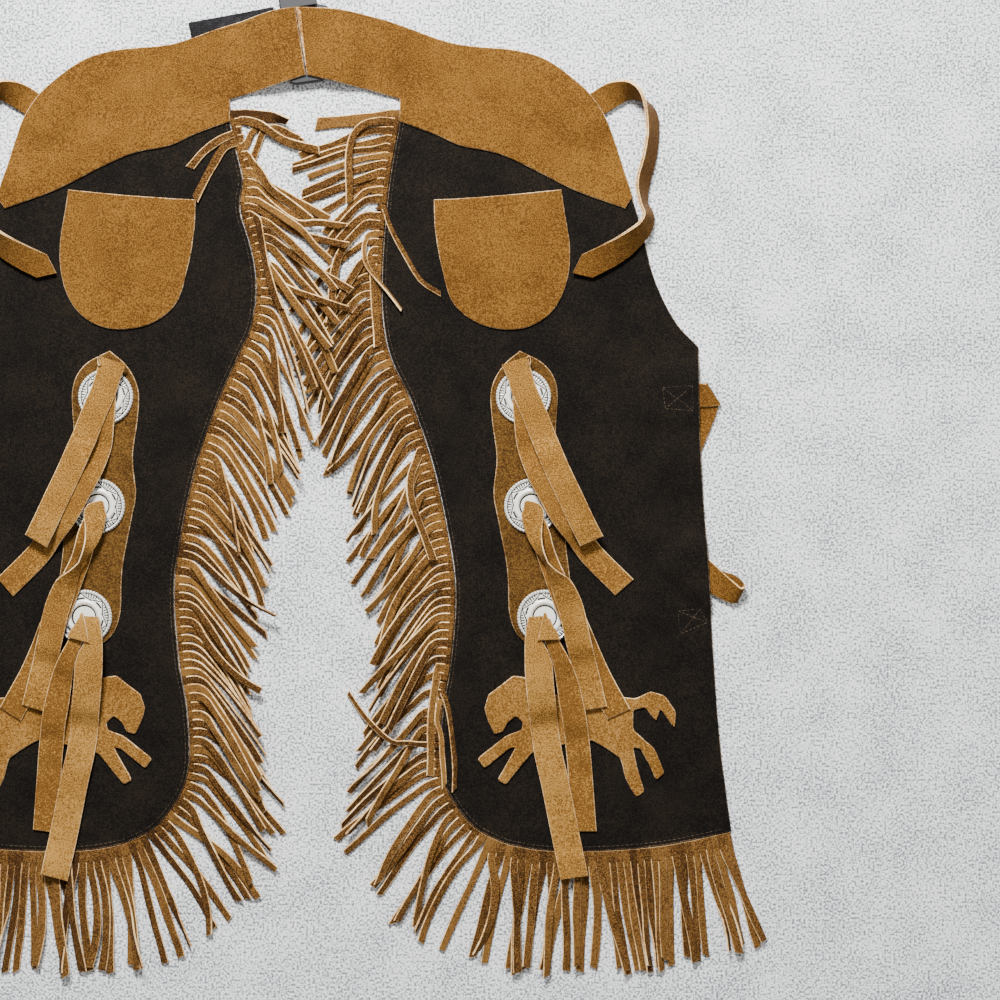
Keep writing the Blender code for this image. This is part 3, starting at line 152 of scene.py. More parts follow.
# Length between the points at which a lace end is laid, and the clear width beside it
BAND_STEP = 11.0
TIE_MARGIN = 0.6

# How the yoke rises over the leg panel, the hip strap, the webbing and the buckle: clear margin, falloff
OVER_PANEL = (2.5, 12.0)
OVER_STRAP = (2.0, 16.0)
OVER_WEBBING = (2.0, 14.0)
OVER_BUCKLE = (3.0, 34.0)

# Belt join: webbing centre line x, y and the buckle's centre, axis angle and sizes
WEBBING_THICK = 1.5
WEBBING = [("webbing_left", 49, [(-84, 298.7), (-58, 303.5), (-24.6, 309.8)]),
           ("webbing_right", 46, [(22, 305.2), (36, 301.8), (50, 298)])]
BUCKLE_CENTRE = (-8.6, 311.3)
BUCKLE_TURN = 8.0
BUCKLE_THICK = 6.4
BUCKLE_SOCKET = [(-14.2, -18.5), (-12, -20.4), (12, -20.4), (12, -12), (-6, -12), (-6, 12), (12, 12),
                 (12, 20.4), (-12, 20.4), (-14.2, 18.5)]
BUCKLE_PLUG = [(-5.2, -11.2), (12.8, -11.2), (12.8, -21.2), (-12.6, -21.2), (-12.6, -28), (-11.4, -30.4),
               (-8.6, -31.4), (8.6, -31.4), (11.4, -30.4), (12.8, -28), (14, -22), (21, -19.5), (21, 19.5),
               (14, 22), (12.8, 28), (11.4, 30.4), (8.6, 31.4), (-8.6, 31.4), (-11.4, 30.4), (-12.6, 28),
               (-12.6, 21.2), (12.8, 21.2), (12.8, 11.2), (-5.2, 11.2)]

# Fringe: a strip sewn along the panel's edge, cut into strands that share its roots
STRIP_WIDTH = 6.0
FIRST_ROOT = 3.0
LAST_ROOT = 1.0
STRAND_WIDTH = 4.7
STRAND_THICK = 1.1
STRAND_GAP = 0.2
INNER_STRANDS = 88
HEM_STRANDS = 36
HEM_START = 14
STRAND_NODES = (0.0, 0.09, 0.26, 0.56, 1.0)
HEM_NODES = (0.0, 0.14, 0.5, 1.0)
STRAY_NODES = (0.0, 0.14, 0.32, 0.54, 0.77, 1.0)
BEND_LENGTH = 13.0
MOST_BEND = 72.0
STEEPEST = math.tan(math.radians(64))
LIGHTEST = 0.06
STRAY_STEEPEST = 0.5
SIDE_MARGIN = 0.12
LAY_ROUNDS = 160
CLOSE_ENOUGH = 0.01
HIGHEST = 6.5
# Turns that are tried in turn for a strand that would lie too high: middle and tip, or all of a stray
SLIDES = [(0, 0), (2.5, 3.5), (5, 7), (7.5, 10.5), (10, 14), (12.5, 17.5), (15, 21)]
STRAY_TURNS = [0, 3, -3, 6, -6, 9, -9]
SWAY = 6.0
JITTER = 1.2
DRIFT_REACH = 9
WAY_STEPS = 40
DRIFT_MIDDLE = 0.7
LENGTHS = (0.94, 1.05)
WIDTHS = (0.93, 1.05)
# Share of the strands that fell over the others, and how far they turn down and vary there
LOOSE_SHARE = 0.5
LOOSE_MIDDLE = 10.0
LOOSE_TIP = 14.0
LOOSE_LEAN = 0.22
LOOSE_DOWN = 7.0
LOOSE_WIDTH = 1.1

# How the strands hang: the root's y, then degrees from straight down at the middle and the tip, length
HANG_RIGHT = [(262, 88, 86, 60), (240, 74, 74, 76), (215, 62, 52, 78), (190, 52, 38, 78), (160, 46, 31, 79),
              (130, 42, 29, 78), (95, 40, 28, 79), (48, 38, 25, 77), (24, 40, 29, 78), (-20, 46, 34, 79),
              (-50, 46, 35, 78), (-92, 46, 35, 79), (-116, 47, 37, 79), (-180, 49, 39, 81),
              (-235, 44, 36, 81), (-250, 30, 22, 80)]
HANG_LEFT = [(262, 86, 84, 42), (244, 66, 66, 84), (228, 58, 52, 80), (200, 55, 48, 80), (184, 50, 38, 78),
             (150, 48, 38, 78), (128, 42, 30, 84), (95, 40, 27, 80), (48, 38, 25, 78), (10, 37, 25, 77),
             (-40, 42, 31, 76), (-90, 45, 34, 78), (-140, 47, 37, 80), (-200, 48, 38, 82),
             (-235, 44, 35, 80), (-250, 30, 20, 80)]
# Side, word in the names, hang of the inner fringe, and the seeds of the inner and hem fringe
SIDES = [(1, "right", HANG_RIGHT, (3, 35)), (-1, "left", HANG_LEFT, (45, 57))]
# Along the hem: the root's x, then degrees and length
HANG_HEM = [(100, 24, 22, 82), (140, 15, 12, 80), (190, 4, 3, 78), (235, -5, -6, 78), (262, -10, -13, 76),
            (276, -16, -20, 75), (290, -25, -31, 78)]

# Strands that leave the common run, in the order laid, for the right and the left side: number, width,
# points x, y after the root
STRAYS = {
    1: [
        (0, 8.6, [(42, 255.5), (21.7, 254.1), (0.7, 251.3)]),
        (8, 5, [(35.7, 209.6), (28, 205.1), (16.1, 196.7), (-2.1, 184.8)]),
        (9, 5, [(36.4, 204.4), (30.8, 199.5), (21.7, 190.4), (7, 175)]),
        (2, 5, [(41.3, 247.1), (25.9, 243.6), (10.5, 236.6), (-10.5, 229.6)]),
        (3, 4.8, [(39.9, 239.4), (24.5, 235.9), (7, 230.3), (-15.4, 222.6)]),
        (4, 4.8, [(38.5, 233.8), (24.5, 232), (7, 226.8), (-16.1, 219.1)]),
        (5, 4.6, [(38.5, 228.2), (24.5, 225.4), (10.5, 220.5), (-4.9, 214.2)]),
        (6, 5.4, [(36.4, 221.9), (21.7, 217.7), (7, 210), (-9.1, 203)]),
        (7, 5.8, [(37.1, 214.9), (24.5, 210), (9.1, 203.7), (-10.5, 196.7)]),
        (10, 5, [(36.4, 198.8), (30.1, 194.6), (23.8, 187.6), (10.5, 170.8)]),
        (12, 5.4, [(35.7, 187.6), (28.7, 184.1), (21.7, 176.4), (9.1, 159.6)]),
        (13, 5.8, [(35.7, 180.6), (28.7, 171.5), (22.4, 159.6), (19.6, 142.8), (21.7, 107.8)]),
        (1, 5.4, [(44.1, 253.7), (34.3, 251.3), (27.3, 243.6), (24.5, 230.3), (24.1, 212.8), (24.1, 196.7)]),
        (11, 3.4, [(48.3, 193.2), (52.5, 181.3), (61.6, 162.4), (73.5, 142.8), (88.2, 133.3)]),
        (16, 5.6, [(39.2, 158.9), (40.6, 146.3), (42.7, 121.8), (43.4, 95.9)]),
        (14, 3.4, [(37.1, 173.6), (34.6, 165.2), (36.4, 154), (43.4, 143.5), (60.9, 121.8)]),
        (40, 5.6, [(72, 18), (67.5, 4.2), (67.9, -11.2), (73.5, -28.7), (82.6, -53.2)]),
        (75, 3.6, [(66, -182), (53.2, -182.5), (36, -170), (19.6, -151.9)]),
        (66, 5.6, [(86, -130), (82, -160), (80.5, -204)]),
        (70, 3.6, [(86.5, -152), (85, -165), (88.6, -176.2), (89.4, -192.5), (90.3, -211.4)]),
        (68, 3.6, [(88.6, -144), (93.7, -161.2), (97.9, -191.1), (97.3, -214)]),
    ],
    -1: [
        (0, 8.6, [(46, 257.5), (32, 257), (18.5, 252.5)]),
        (4, 5, [(46.9, 239.4), (41.3, 247.8), (28, 247.8), (8.4, 238.7)]),
        (6, 5, [(44.1, 226.8), (39.9, 236.6), (35, 246.4), (25.9, 248.5), (10.5, 241.5)]),
        (1, 6.2, [(50, 254), (38, 251), (20, 239), (-3.5, 233)]),
        (2, 5.6, [(54.6, 245.7), (65.1, 241.5), (77, 232.4), (87.5, 221.2)]),
        (3, 5.6, [(53.9, 239.4), (63.7, 235.2), (71.4, 222.6), (78.4, 208.6), (83.3, 198.8)]),
        (8, 4.8, [(39.9, 208.6), (30.1, 199.5), (17.5, 190.4), (3.5, 182)]),
        (7, 5.6, [(40.6, 215.6), (31.5, 207.9), (17.5, 200.9), (-9.8, 184.8)]),
        (5, 5.8, [(44.1, 224.7), (37.1, 216.3), (30.8, 206.5), (17.5, 196.7), (2.1, 183.4)]),
        (9, 5.2, [(40.6, 204.4), (28, 193.2), (11.9, 182), (-2.1, 182), (-20.3, 179.9)]),
        (11, 5.2, [(38.5, 191.8), (28, 184.8), (10.5, 175), (-4.9, 170.8), (-23.1, 166.6)]),
        (10, 5, [(39.9, 197.8), (32.9, 193.2), (21, 185.5), (8.4, 177.1), (-0.7, 165.9), (-11.2, 155.4)]),
        (19, 4.8, [(32.9, 144.9), (22.4, 137.2), (9.1, 128.8), (-4.9, 122.5), (-22.4, 115.5)]),
        (17, 6, [(32.9, 154), (21.7, 144.2), (9.1, 130.2), (-4.9, 116.9), (-20.3, 102.9)]),
        (12, 5.2, [(38.5, 184.8), (35, 173.6), (29.4, 156.8), (21.7, 140.7), (13.3, 126.7)]),
    ],
}


def spline(points, samples=14):
    """Fine points on a smooth curve that passes through the given ones."""
    rows = np.array(points, float)
    rows = np.vstack([2 * rows[0] - rows[1], rows, 2 * rows[-1] - rows[-2]])
    t = np.linspace(0, 1, samples, endpoint=False)[:, None]
    parts = [0.5 * (2 * b + (c - a) * t + (2 * a - 5 * b + 4 * c - d) * t ** 2 + (3 * b - a - 3 * c + d) * t ** 3)
             for a, b, c, d in zip(rows, rows[1:], rows[2:], rows[3:])]
    return np.vstack([*parts, rows[-2:-1]])


def distances(line):
    """How far along a line each of its points lies."""
    return np.concatenate([[0.0], np.cumsum(np.linalg.norm(np.diff(line, axis=0), axis=1))])


def along(line, where):
    """Points at the given distances along a line."""
    total = distances(line)
    return np.column_stack([np.interp(where, total, column) for column in line.T])


def evenly(line, step):
    """A line's points again, about one step apart."""
    total = distances(line)[-1]
    return along(line, np.linspace(0, total, max(1, round(total / step)) + 1))


def outline(*runs):
    """A closed outline from runs that share their end points."""
    return np.vstack([run[:-1] for run in runs])


def unit(rows):
    """Each row at length 1."""
    return rows / np.linalg.norm(rows, axis=-1, keepdims=True)


def headings(line):
    """The way ahead at each point of a line, at length 1."""
    return unit(np.gradient(line, axis=0))


def left_of(ways):
    """Each way turned a quarter to the left."""
    return np.column_stack([-ways[:, 1], ways[:, 0]])


def at_height(points, level):
    """Points with one height for all, or one for each."""
    return np.column_stack([points, np.broadcast_to(level, len(points))])


def mirrored(points, side):
    """Points of the right side, moved to the asked side; side is 1 for right and -1 for left."""
    return np.array(points, float) * np.array([side] + [1] * (len(points[0]) - 1))


def turned(points, centre, degrees):
    angle = math.radians(degrees)
    spin = np.array([[math.cos(angle), -math.sin(angle)], [math.sin(angle), math.cos(angle)]])
    return np.array(points, float) @ spin.T + np.array(centre)


def between(values, k, share):
    """A value on the stretch from point k to the next one."""
    return values[k] * (1 - share) + values[k + 1] * share


def inside(polygon, x, y):
    """True where a point lies in the polygon."""
    result = np.zeros(np.shape(x), bool)
    for (ax, ay), (bx, by) in zip(polygon, np.roll(polygon, -1, axis=0)):
        if ay != by:
            result ^= ((ay > y) != (by > y)) & (x < (bx - ax) * (y - ay) / (by - ay) + ax)
    return result


def off_edge(polygon, x, y):
    """Distance to the polygon's edge."""
    best = np.full(np.shape(x), 1e9)
    for a, b in zip(polygon, np.roll(polygon, -1, axis=0)):
        step = b - a
        t = np.clip(((x - a[0]) * step[0] + (y - a[1]) * step[1]) / max(step @ step, 1e-9), 0, 1)
        best = np.minimum(best, np.hypot(x - a[0] - t * step[0], y - a[1] - t * step[1]))
    return best


def draped(covers):
    """Height of a cloth's underside over the pieces below it: polygon, height, clear margin, falloff."""
    def height(x, y):
        result = np.zeros(np.shape(x))
        for polygon, level, margin, falloff in covers:
            away = np.where(inside(polygon, x, y), 0.0, off_edge(polygon, x, y))
            t = np.clip((away - margin) / falloff, 0, 1)
            result = np.maximum(result, level * (1 - t * t * (3 - 2 * t)))
        return result
    return height


def flat_at(level):
    return lambda x, y: np.full(np.shape(x), float(level))


def box_round(points, width):
    """The outline of a band of the given width along a line, used as a cover."""
    line = np.array(points, float)[:, :2]
    across = left_of(headings(line)) * width / 2
    return np.vstack([line + across, (line - across)[::-1]])


def grid_inside(rim, spacing):
    """Points in staggered rows inside a rim, clear of its edge."""
    low = rim.min(axis=0)
    high = rim.max(axis=0)
    points = np.array([
        (x, y) for row, y in enumerate(np.arange(low[1] + spacing / 2, high[1], spacing * 0.87))
        for x in np.arange(low[0] + (0.25 if row % 2 else 0.75) * spacing, high[0], spacing)])
    return points[inside(rim, *points.T) & (off_edge(rim, *points.T) > spacing * 0.45)]


class Ground:
    """What lies below, as a height for each small cell, so that each new strip is laid on it."""

    CELL = 0.5
    LOW = (-345.0, -365.0)
    SIZE = (1380, 1460)

    def __init__(self):
        self.height = np.zeros(self.SIZE)

    def window(self, low, high):
        """Cells in a box: their indices and places."""
        spans = [np.arange(max(0, int((low[k] - self.LOW[k]) / self.CELL) - 1),
                           min(self.SIZE[k], int((high[k] - self.LOW[k]) / self.CELL) + 2)) for k in (0, 1)]
        columns, rows = np.meshgrid(*spans, indexing="ij")
        return columns, rows, self.LOW[0] + (columns + 0.5) * self.CELL, self.LOW[1] + (rows + 0.5) * self.CELL

    def raise_to(self, columns, rows, top):
        self.height[columns, rows] = np.maximum(self.height[columns, rows], top)

    def cover(self, polygon, top):
        """Raise the ground to a panel's top."""
        columns, rows, x, y = self.window(polygon.min(axis=0), polygon.max(axis=0))
        within = inside(polygon, x, y)
        self.raise_to(columns[within], rows[within], top(x[within], y[within]))

    def stretch(self, a, b, reach):
        """Cells near the stretch from a to b: their indices, share along it and distance across."""
        size = np.linalg.norm(b - a)
        ahead = (b - a) / size
        pad = reach + 1.0
        columns, rows, x, y = self.window(np.minimum(a, b) - pad, np.maximum(a, b) + pad)
        share = ((x - a[0]) * ahead[0] + (y - a[1]) * ahead[1]) / size
        off = (x - a[0]) * -ahead[1] + (y - a[1]) * ahead[0]
        near = (np.abs(off) <= reach) & (share >= -0.4 / size) & (share <= 1 + 0.4 / size)
        return columns[near], rows[near], np.clip(share[near], 0, 1), off[near]

    def lay(self, line, width, raised, lean, steepest, margin, fixed=0, gap=GAP):
        """How a strip rests on the ground: the lift of its low side and its slope at each point of the line.

        raised is 1 or -1, the side across the line that may lift. With steepest 0 the strip stays level across.
        """
        lift = np.full(len(line), GAP)
        slope = np.array(lean, float)
        stretches = []
        for k in range(fixed, len(line) - 1):
            columns, rows, share, off = self.stretch(line[k], line[k + 1], width / 2 + margin)
            below = self.height[columns, rows]
            if len(below):
                stretches.append((k, share, off * raised, below + np.where(below > 0, gap, GAP)))
        if not steepest:
            for k, _, _, need in stretches:
                lift[k:k + 2] = np.maximum(lift[k:k + 2], need.max())
            return lift, slope
        for _ in range(LAY_ROUNDS):
            worst = 0.0
            for k, share, off, need in stretches:
                tilt = between(slope, k, share)
                reach = np.maximum(width / 2 / np.sqrt(1 + tilt * tilt) + off, 0)
                lack = need - (between(lift, k, share) + reach * tilt)
                at = int(np.argmax(lack))
                if lack[at] <= CLOSE_ENOUGH:
                    continue
                worst = max(worst, lack[at])
                ends = np.array([1 - share[at], share[at]])
                push = (lack[at] + CLOSE_ENOUGH / 2) * ends / (ends @ ends)
                pair = slice(k, k + 2)
                if reach[at] > 0.4 * width and slope[pair].max() < steepest:
                    slope[pair] = np.minimum(slope[pair] + push / reach[at], steepest)
                else:
                    lift[pair] += push
            if worst <= CLOSE_ENOUGH:
                break
        return lift, slope

    def pile(self, line, width, thickness, raised, lift, slope, margin):
        """Raise the ground to the top of a strip that was laid."""
        for k in range(len(line) - 1):
            columns, rows, share, off = self.stretch(line[k], line[k + 1], width / 2 + 2 * margin)
            tilt = between(slope, k, share)
            steep = np.sqrt(1 + tilt * tilt)
            half = width / 2 / steep
            reach = np.clip(half + off * raised, 0, 2 * half)
            self.raise_to(columns, rows, between(lift, k, share) + reach * tilt + thickness * steep)


def leg_edges(side):
    """One leg's inner edge and hem in one line, as on the right side, with both fringes' stations on it."""
    inner = spline(LEG_INNER)
    line = np.vstack([inner[:-1], spline(LEG_HEM)])
    if side < 0:
        shift = spline(LEFT_INNER_SHIFT)
        line[:, 0] -= np.interp(line[:, 1], shift[:, 0], shift[:, 1])
    split = distances(inner)[-1] - HEM_START
    return line, {
        "inner": np.linspace(FIRST_ROOT, split, INNER_STRANDS + 1),
        "hem": np.linspace(split + GAP, distances(line)[-1] - LAST_ROOT, HEM_STRANDS + 1),
    }


def leg_outline(edge, step):
    """One leg panel's outline, as on the right side, from its fringed edge and the plain runs after it."""
    return outline(edge, *[evenly(spline(run), step) for run in (LEG_OUTER, LEG_HIP, LEG_TOP)])


def leg_rim(side):
    """The solid's outline of one leg panel, with a point at each root of the fringe."""
    line, roots = leg_edges(side)
    stations = np.concatenate([[0.0], roots["inner"], roots["hem"], [distances(line)[-1]]])
    return mirrored(leg_outline(along(line, stations), RIM_STEP), side)


def strand_way(root, outward, middle, tip, size):
    """A strand that leaves its strip squarely and then droops, as points at any shares of its length."""
    start = math.degrees(math.atan2(-outward[0], -outward[1]))
    middle = max(middle, start - MOST_BEND + 6)
    tip = max(tip, start - MOST_BEND)
    points = [np.array(root, float)]
    for k in range(WAY_STEPS):
        gone = (k + 0.5) / WAY_STEPS * size
        bend = min(1.0, gone / BEND_LENGTH)
        bend = bend * bend * (3 - 2 * bend)
        later = max(0.0, (gone - BEND_LENGTH) / (size - BEND_LENGTH))
        angle = math.radians(start + (middle - start) * bend + (tip - middle) * later)
        points.append(points[-1] - np.array([math.sin(angle), math.cos(angle)]) * size / WAY_STEPS)
    points = np.array(points)
    return lambda shares: along(points, np.array(shares) * size)


def stray_way(root, points, turn):
    """The same for a stray, turned a little about its root."""
    way = spline(np.vstack([[0.0, 0.0], np.array(points) - root]))
    return lambda shares: turned(along(way, np.array(shares) * distances(way)[-1]), root, turn)


def lean_for(line, outward, pitch, width):
    """Slope of each strand, steep enough for its neighbour to lie on it like a louvre."""
    result = []
    for step in headings(line):
        room = pitch * max(0.2, float(step @ outward))
        if width <= room:
            result.append(LIGHTEST)
            continue
        sine = min(0.88, (STRAND_THICK + STRAND_GAP + 0.12) / room)
        result.append(max(LIGHTEST, sine / math.sqrt(1 - sine * sine)))
    result[0] = 0.0
    return result


def backing(line, stations):
    """Both edges of a right-hand fringe's strip, and the way outward at each station."""
    points = along(line, stations)
    ahead = along(line, stations + 1.0) - along(line, stations - 1.0)
    ahead[-1] = ahead[-2]
    outward = -left_of(unit(ahead))
    return points + outward * GAP, points + outward * (GAP + STRIP_WIDTH), outward


def laid_strands(side, near, far, outward, hang, by, shares, ground, seed):
    """Lay each strand on what is below it: number, width, pitch, shares, way, lift and slope."""
    random = np.random.default_rng(seed)
    ground.cover(mirrored(np.vstack([near, far[::-1]]), side), flat_at(GAP + STRAND_THICK))
    table = np.array(sorted(hang), float)
    count = len(far) - 1
    drift = np.convolve(random.normal(0, 1, count + DRIFT_REACH - 1), np.hanning(DRIFT_REACH), mode="valid")
    drift *= SWAY / drift.std()
    strays = {row[0]: row for row in STRAYS[side]} if by == 1 else {}
    loose = [k for k in random.permutation(count)[:round(LOOSE_SHARE * count)] if k not in strays]
    common = [k for k in range(count) if k not in strays and k not in loose]
    rows = []
    for k in common + loose + list(strays):
        root = (far[k] + far[k + 1]) / 2
        away = (outward[k] + outward[k + 1]) / 2
        middle, tip, size = (np.interp(near[k][by], table[:, 0], column) for column in table.T[1:])
        middle += drift[k] * DRIFT_MIDDLE + random.normal(0, JITTER)
        tip += drift[k] + random.normal(0, JITTER)
        size *= random.uniform(*LENGTHS)
        width = STRAND_WIDTH * random.uniform(*WIDTHS) * (LOOSE_WIDTH if k in loose else 1.0)
        pitch = float(np.linalg.norm(far[k + 1] - far[k]))
        over = k in strays or k in loose
        nodes = STRAY_NODES if k in strays else shares
        best = None
        for (less_middle, less_tip), turn in zip(SLIDES, STRAY_TURNS):
            if k in strays:
                width = strays[k][1]
                way = stray_way(root, strays[k][2], turn)
                lean = [LIGHTEST] * len(nodes)
            elif k in loose:
                way = strand_way(root, away, middle + random.normal(-LOOSE_DOWN, LOOSE_MIDDLE),
                                 tip + random.normal(-LOOSE_DOWN, LOOSE_TIP), size)
                lean = [LIGHTEST] + list(random.uniform(0, LOOSE_LEAN, len(nodes) - 1))
            else:
                way = strand_way(root, away, middle - less_middle, tip - less_tip, size)
                lean = lean_for(way(nodes), away, pitch, width)
            lift, slope = ground.lay(mirrored(way(nodes), side), width, -side, lean,
                                     STRAY_STEEPEST if over else STEEPEST, SIDE_MARGIN, fixed=1,
                                     gap=GAP if over else STRAND_GAP)
            if best is None or lift.max() < best[1].max():
                best = (way, lift, slope)
            if lift.max() < HIGHEST:
                break
        way, lift, slope = best
        ground.pile(mirrored(way(nodes), side), width, STRAND_THICK, -side, lift, slope, SIDE_MARGIN)
        rows.append((k, width, pitch, nodes, way, lift, slope))
    return rows


def yoke_rim(side, step=RIM_STEP):
    """Outline of one yoke; the left one crosses the middle, up to the join."""
    shared = [mirrored(run, side) for run in (YOKE_TIP, YOKE_LOWER, YOKE_NOTCH)]
    if side > 0:
        runs = [YOKE_UPPER, *shared, BELT_LOWER, JOIN_RIGHT]
    else:
        runs = [[JOIN_LEFT[0], LEFT_BELT_TOP, *mirrored(YOKE_UPPER[2:], -1)], *shared,
                [*mirrored(BELT_LOWER[:2], -1), JOIN_LEFT[1]], JOIN_LEFT[::-1]]
    return outline(*[evenly(spline(run), step) for run in runs])


def over_straps(side):
    """Underside of the leg panel, lifted over the straps sewn beneath it."""
    rows = [(STRAP_1[:3], STRAP_1_RISE), (STRAP_1[6:], STRAP_1_BACK_RISE), (STRAP_2[:4], STRAP_2_RISE)]
    return draped([(box_round(mirrored(row, side), STRAP_COVER), *rise) for row, rise in rows])


def over_belt(side, rim):
    """Underside of the yoke, lifted over the leg panel, the hip strap, the webbing and the buckle."""
    root = box_round(mirrored(HIP_STRAP[:3], side), HIP_STRAP_WIDTH)
    covers = [(rim, LAYER, *OVER_PANEL), (root, DOUBLED + 2 * GAP, *OVER_STRAP)]
    covers += [(box_round(points, width), WEBBING_THICK + GAP, *OVER_WEBBING) for _, width, points in WEBBING]
    covers += [(turned(points, BUCKLE_CENTRE, BUCKLE_TURN), BUCKLE_THICK + 2 * GAP, *OVER_BUCKLE)
               for points in (BUCKLE_SOCKET, BUCKLE_PLUG)]
    return draped(covers)


def pocket_rim(side, step=TRIM_STEP, mouth_step=MOUTH_STEP):
    return mirrored(outline(evenly(spline(POCKET_SIDE), step), evenly(spline(POCKET_MOUTH), mouth_step)), side)


def puffed(side):
    """Underside of the pocket, standing off the leg a little near its mouth."""
    middle = pocket_rim(side).mean(axis=0)[0]
    return lambda x, y: LAYER + POCKET_PUFF * np.exp(
        -((x - middle) / PUFF_REACH) ** 2 - ((y - PUFF_Y) / PUFF_REACH) ** 2)


def hip_strap_rings(side, step):
    """Centre and half width of each ring of the hip strap."""
    rows = np.maximum(evenly(spline(HIP_STRAP), step), 0.0)
    line = mirrored(rows[:, :2], side)
    lean = np.radians(rows[:, 3])
    aside = left_of(headings(line)) * side
    halves = np.column_stack([aside * np.cos(lean)[:, None], np.sin(lean)]) * HIP_STRAP_WIDTH / 2
    return at_height(line, rows[:, 2] + halves[:, 2] + DOUBLED / 2 * np.abs(np.cos(lean))), halves


def concho_cover(centre):
    angles = np.linspace(0, 2 * math.pi, 32, endpoint=False)
    return np.array(centre) + CONCHO_COVER * np.column_stack([np.cos(angles), np.sin(angles)])


# Finer sizes of the dressed pieces
EDGE = 0.5
STRAND_EDGE = 0.7
# Fringe as drawn: cut edge seen from above, uncut length at the root, width of a strand against the solid's,
# then which of x and y its hang goes by, and where the solid's strands have their stations
FRINGES = {"inner": (0.52, 0.0, 1.0, 1, STRAND_NODES), "hem": (0.34, 4.6, 1.12, 0, HEM_NODES)}
LAYER_GAP = 0.14
BEVEL_START = 0.55
FINE_RIM = 2.6
FINE_GRID = 5.0
HORSE_RIM = 1.3
HORSE_GRID = 4.0
BAND_RINGS = 2.2
LINE_STEP = 3.0
RAGGED = 0.12
NAP = 0.035

# Where the strands are cut in sections: shares of their length
SECTIONS = np.array([0, .03, .06, .09, .13, .17, .21, .26, .32, .38, .44, .50, .56, .63, .70, .78, .86, .93, 1.0])

# The dressed strip is this thick, so that the strands can begin on top of it, this far from its near edge
BACKING_THICK = 0.5
ON_BACKING = 5.6
BACKING_LEAN = 0.16
WOBBLE = 0.35
WOBBLE_TURNS = (5, 9)
# Factors on the share of the length: by 1 the wobble has set in, and the strand has come down off the strip
WOBBLE_START = 6
ROOT_END = 12
# A root fills the pitch and this much more, but is at most this much wider than its strand
ROOT_OVERLAP = 0.5
ROOT_WIDER = 1.2
WIDTH_WAVE = 0.05
WIDTH_TURNS = 11
# Strands that curl up along one side: their share, how far they and the others curl, and from which share on
CURLED_SHARE = 0.16
CURL = (1.0, 2.6)
SLIGHT_CURL = (0, 0.25)
CURL_START = (0.45, 0.75)
CURL_RUN = 0.3
STRAND_TONE = 0.035
STRAND_SKEW = 1.1
# Share of the strands that show a pale cut edge on their raised side only, with painted shade on the other side
ONE_LIT_EDGE_SHARE = 0.75

# Finishes of the six sides of a band: 0 is its own, 1 the cut edge and 2 painted shade, a dark brown on a lower
# side where shade falls
# Both put painted shade on the left lower side; the second also leaves the left cut edge in the band's own finish,
# as a side in shade
BOTH_EDGES = (0, 1, 1, 0, 1, 2)
RIGHT_EDGE_LEFT_SHADED = (0, 1, 1, 0, 0, 2)

# Suedes, edges and threads: name, tones as seen (darker, middle, lighter), then the strength of wide blotches,
# fine grain, mottle, relief and sheen
SUEDES = {
    "dark": ("suede_dark", ((5, 3, 2), (12, 9, 6), (30, 23, 15)), 0.25, 0.70, 0.15, 0.4, 0.02),
    "tan": ("suede_tan", ((74, 45, 9), (97, 63, 18), (126, 87, 35)), 0.20, 0.75, 0.08, 0.45, 0.03),
    "strip": ("suede_strip", ((53, 32, 8), (76, 50, 15), (105, 74, 31)), 0.2, 0.65, 0.12, 0.4, 0.03),
    "horse": ("suede_horse", ((94, 60, 17), (126, 86, 33), (156, 114, 58)), 0.2, 0.7, 0.1, 0.4, 0.03),
    "fringe": ("suede_fringe", ((46, 26, 7), (84, 54, 19), (128, 91, 44)), 0.15, 0.65, 0.08, 0.35, 0.02),
    "tie": ("suede_tie", ((98, 63, 21), (132, 91, 36), (170, 126, 62)), 0.2, 0.70, 0.08, 0.45, 0.03),
    "cut": ("cut_edge", ((157, 111, 59), (222, 178, 118), (248, 216, 166)), 0.3, 0.4, 0.3, 0.2, 0.02),
    # Painted shade: a dark brown for the lower sides of bands and for the gaps between the strands' roots
    "shade": ("suede_shade", ((16, 8, 2), (28, 15, 5), (48, 28, 10)), 0.3, 0.4, 0.3, 0.3, 0.0),
    "cut_tan": ("cut_edge_tan", ((115, 76, 32), (181, 139, 88), (235, 206, 162)), 0.3, 0.5, 0.3, 0.2, 0.02),
    "cut_dark": ("cut_edge_dark", ((38, 29, 19), (88, 71, 52), (157, 134, 105)), 0.3, 0.4, 0.3, 0.2, 0.02),
    "thread": ("thread_brown", ((40, 32, 25), (66, 55, 44), (94, 81, 67)), 0.2, 0.4, 0.4, 0.2, 0.0),
    "tan_thread": ("thread_tan", ((40, 28, 15), (58, 42, 24), (80, 60, 38)), 0.2, 0.4, 0.4, 0.2, 0.0),
}
WEBBING_LOOK = ("webbing_weave", ((13, 12, 13), (26, 25, 27), (46, 44, 46)), 0.2, 0.3, 0.3, 0.1, 0.1)
FELT_LOOK = ("pale_felt", ((128, 131, 135), (224, 227, 229), (255, 255, 255)), 0.14, 0.8, 0.0, 0.6, 0.0)
# These have their own tone for each strand or lace end
TINTED = ("fringe", "tie")
# How far the outer tones stand from the middle one
CONTRAST = 0.075
# Noise scales: the blotches, the mottle and the grain of suede, the grain of felt, and hard surfaces
BLOTCHES = 26.0
MOTTLE = 240.0
GRAIN = 1150.0
FELT_GRAIN = 620.0
UNEVEN = 900.0
SOFT_RELIEF = 0.0006
HARD_RELIEF = 0.0003


def linear(colour):
    """A colour as seen, 0 to 255, as the light it sends back."""
    shares = [value / 255 for value in colour]
    return tuple(share / 12.92 if share < 11 / 255 else ((share + 0.055) / 1.055) ** 2.4 for share in shares)


def fill(node, **values):
    """Set a node's plain inputs; an underscore stands for a space in an input's name."""
    for name, value in values.items():
        node.inputs[name.replace("_", " ")].default_value = value


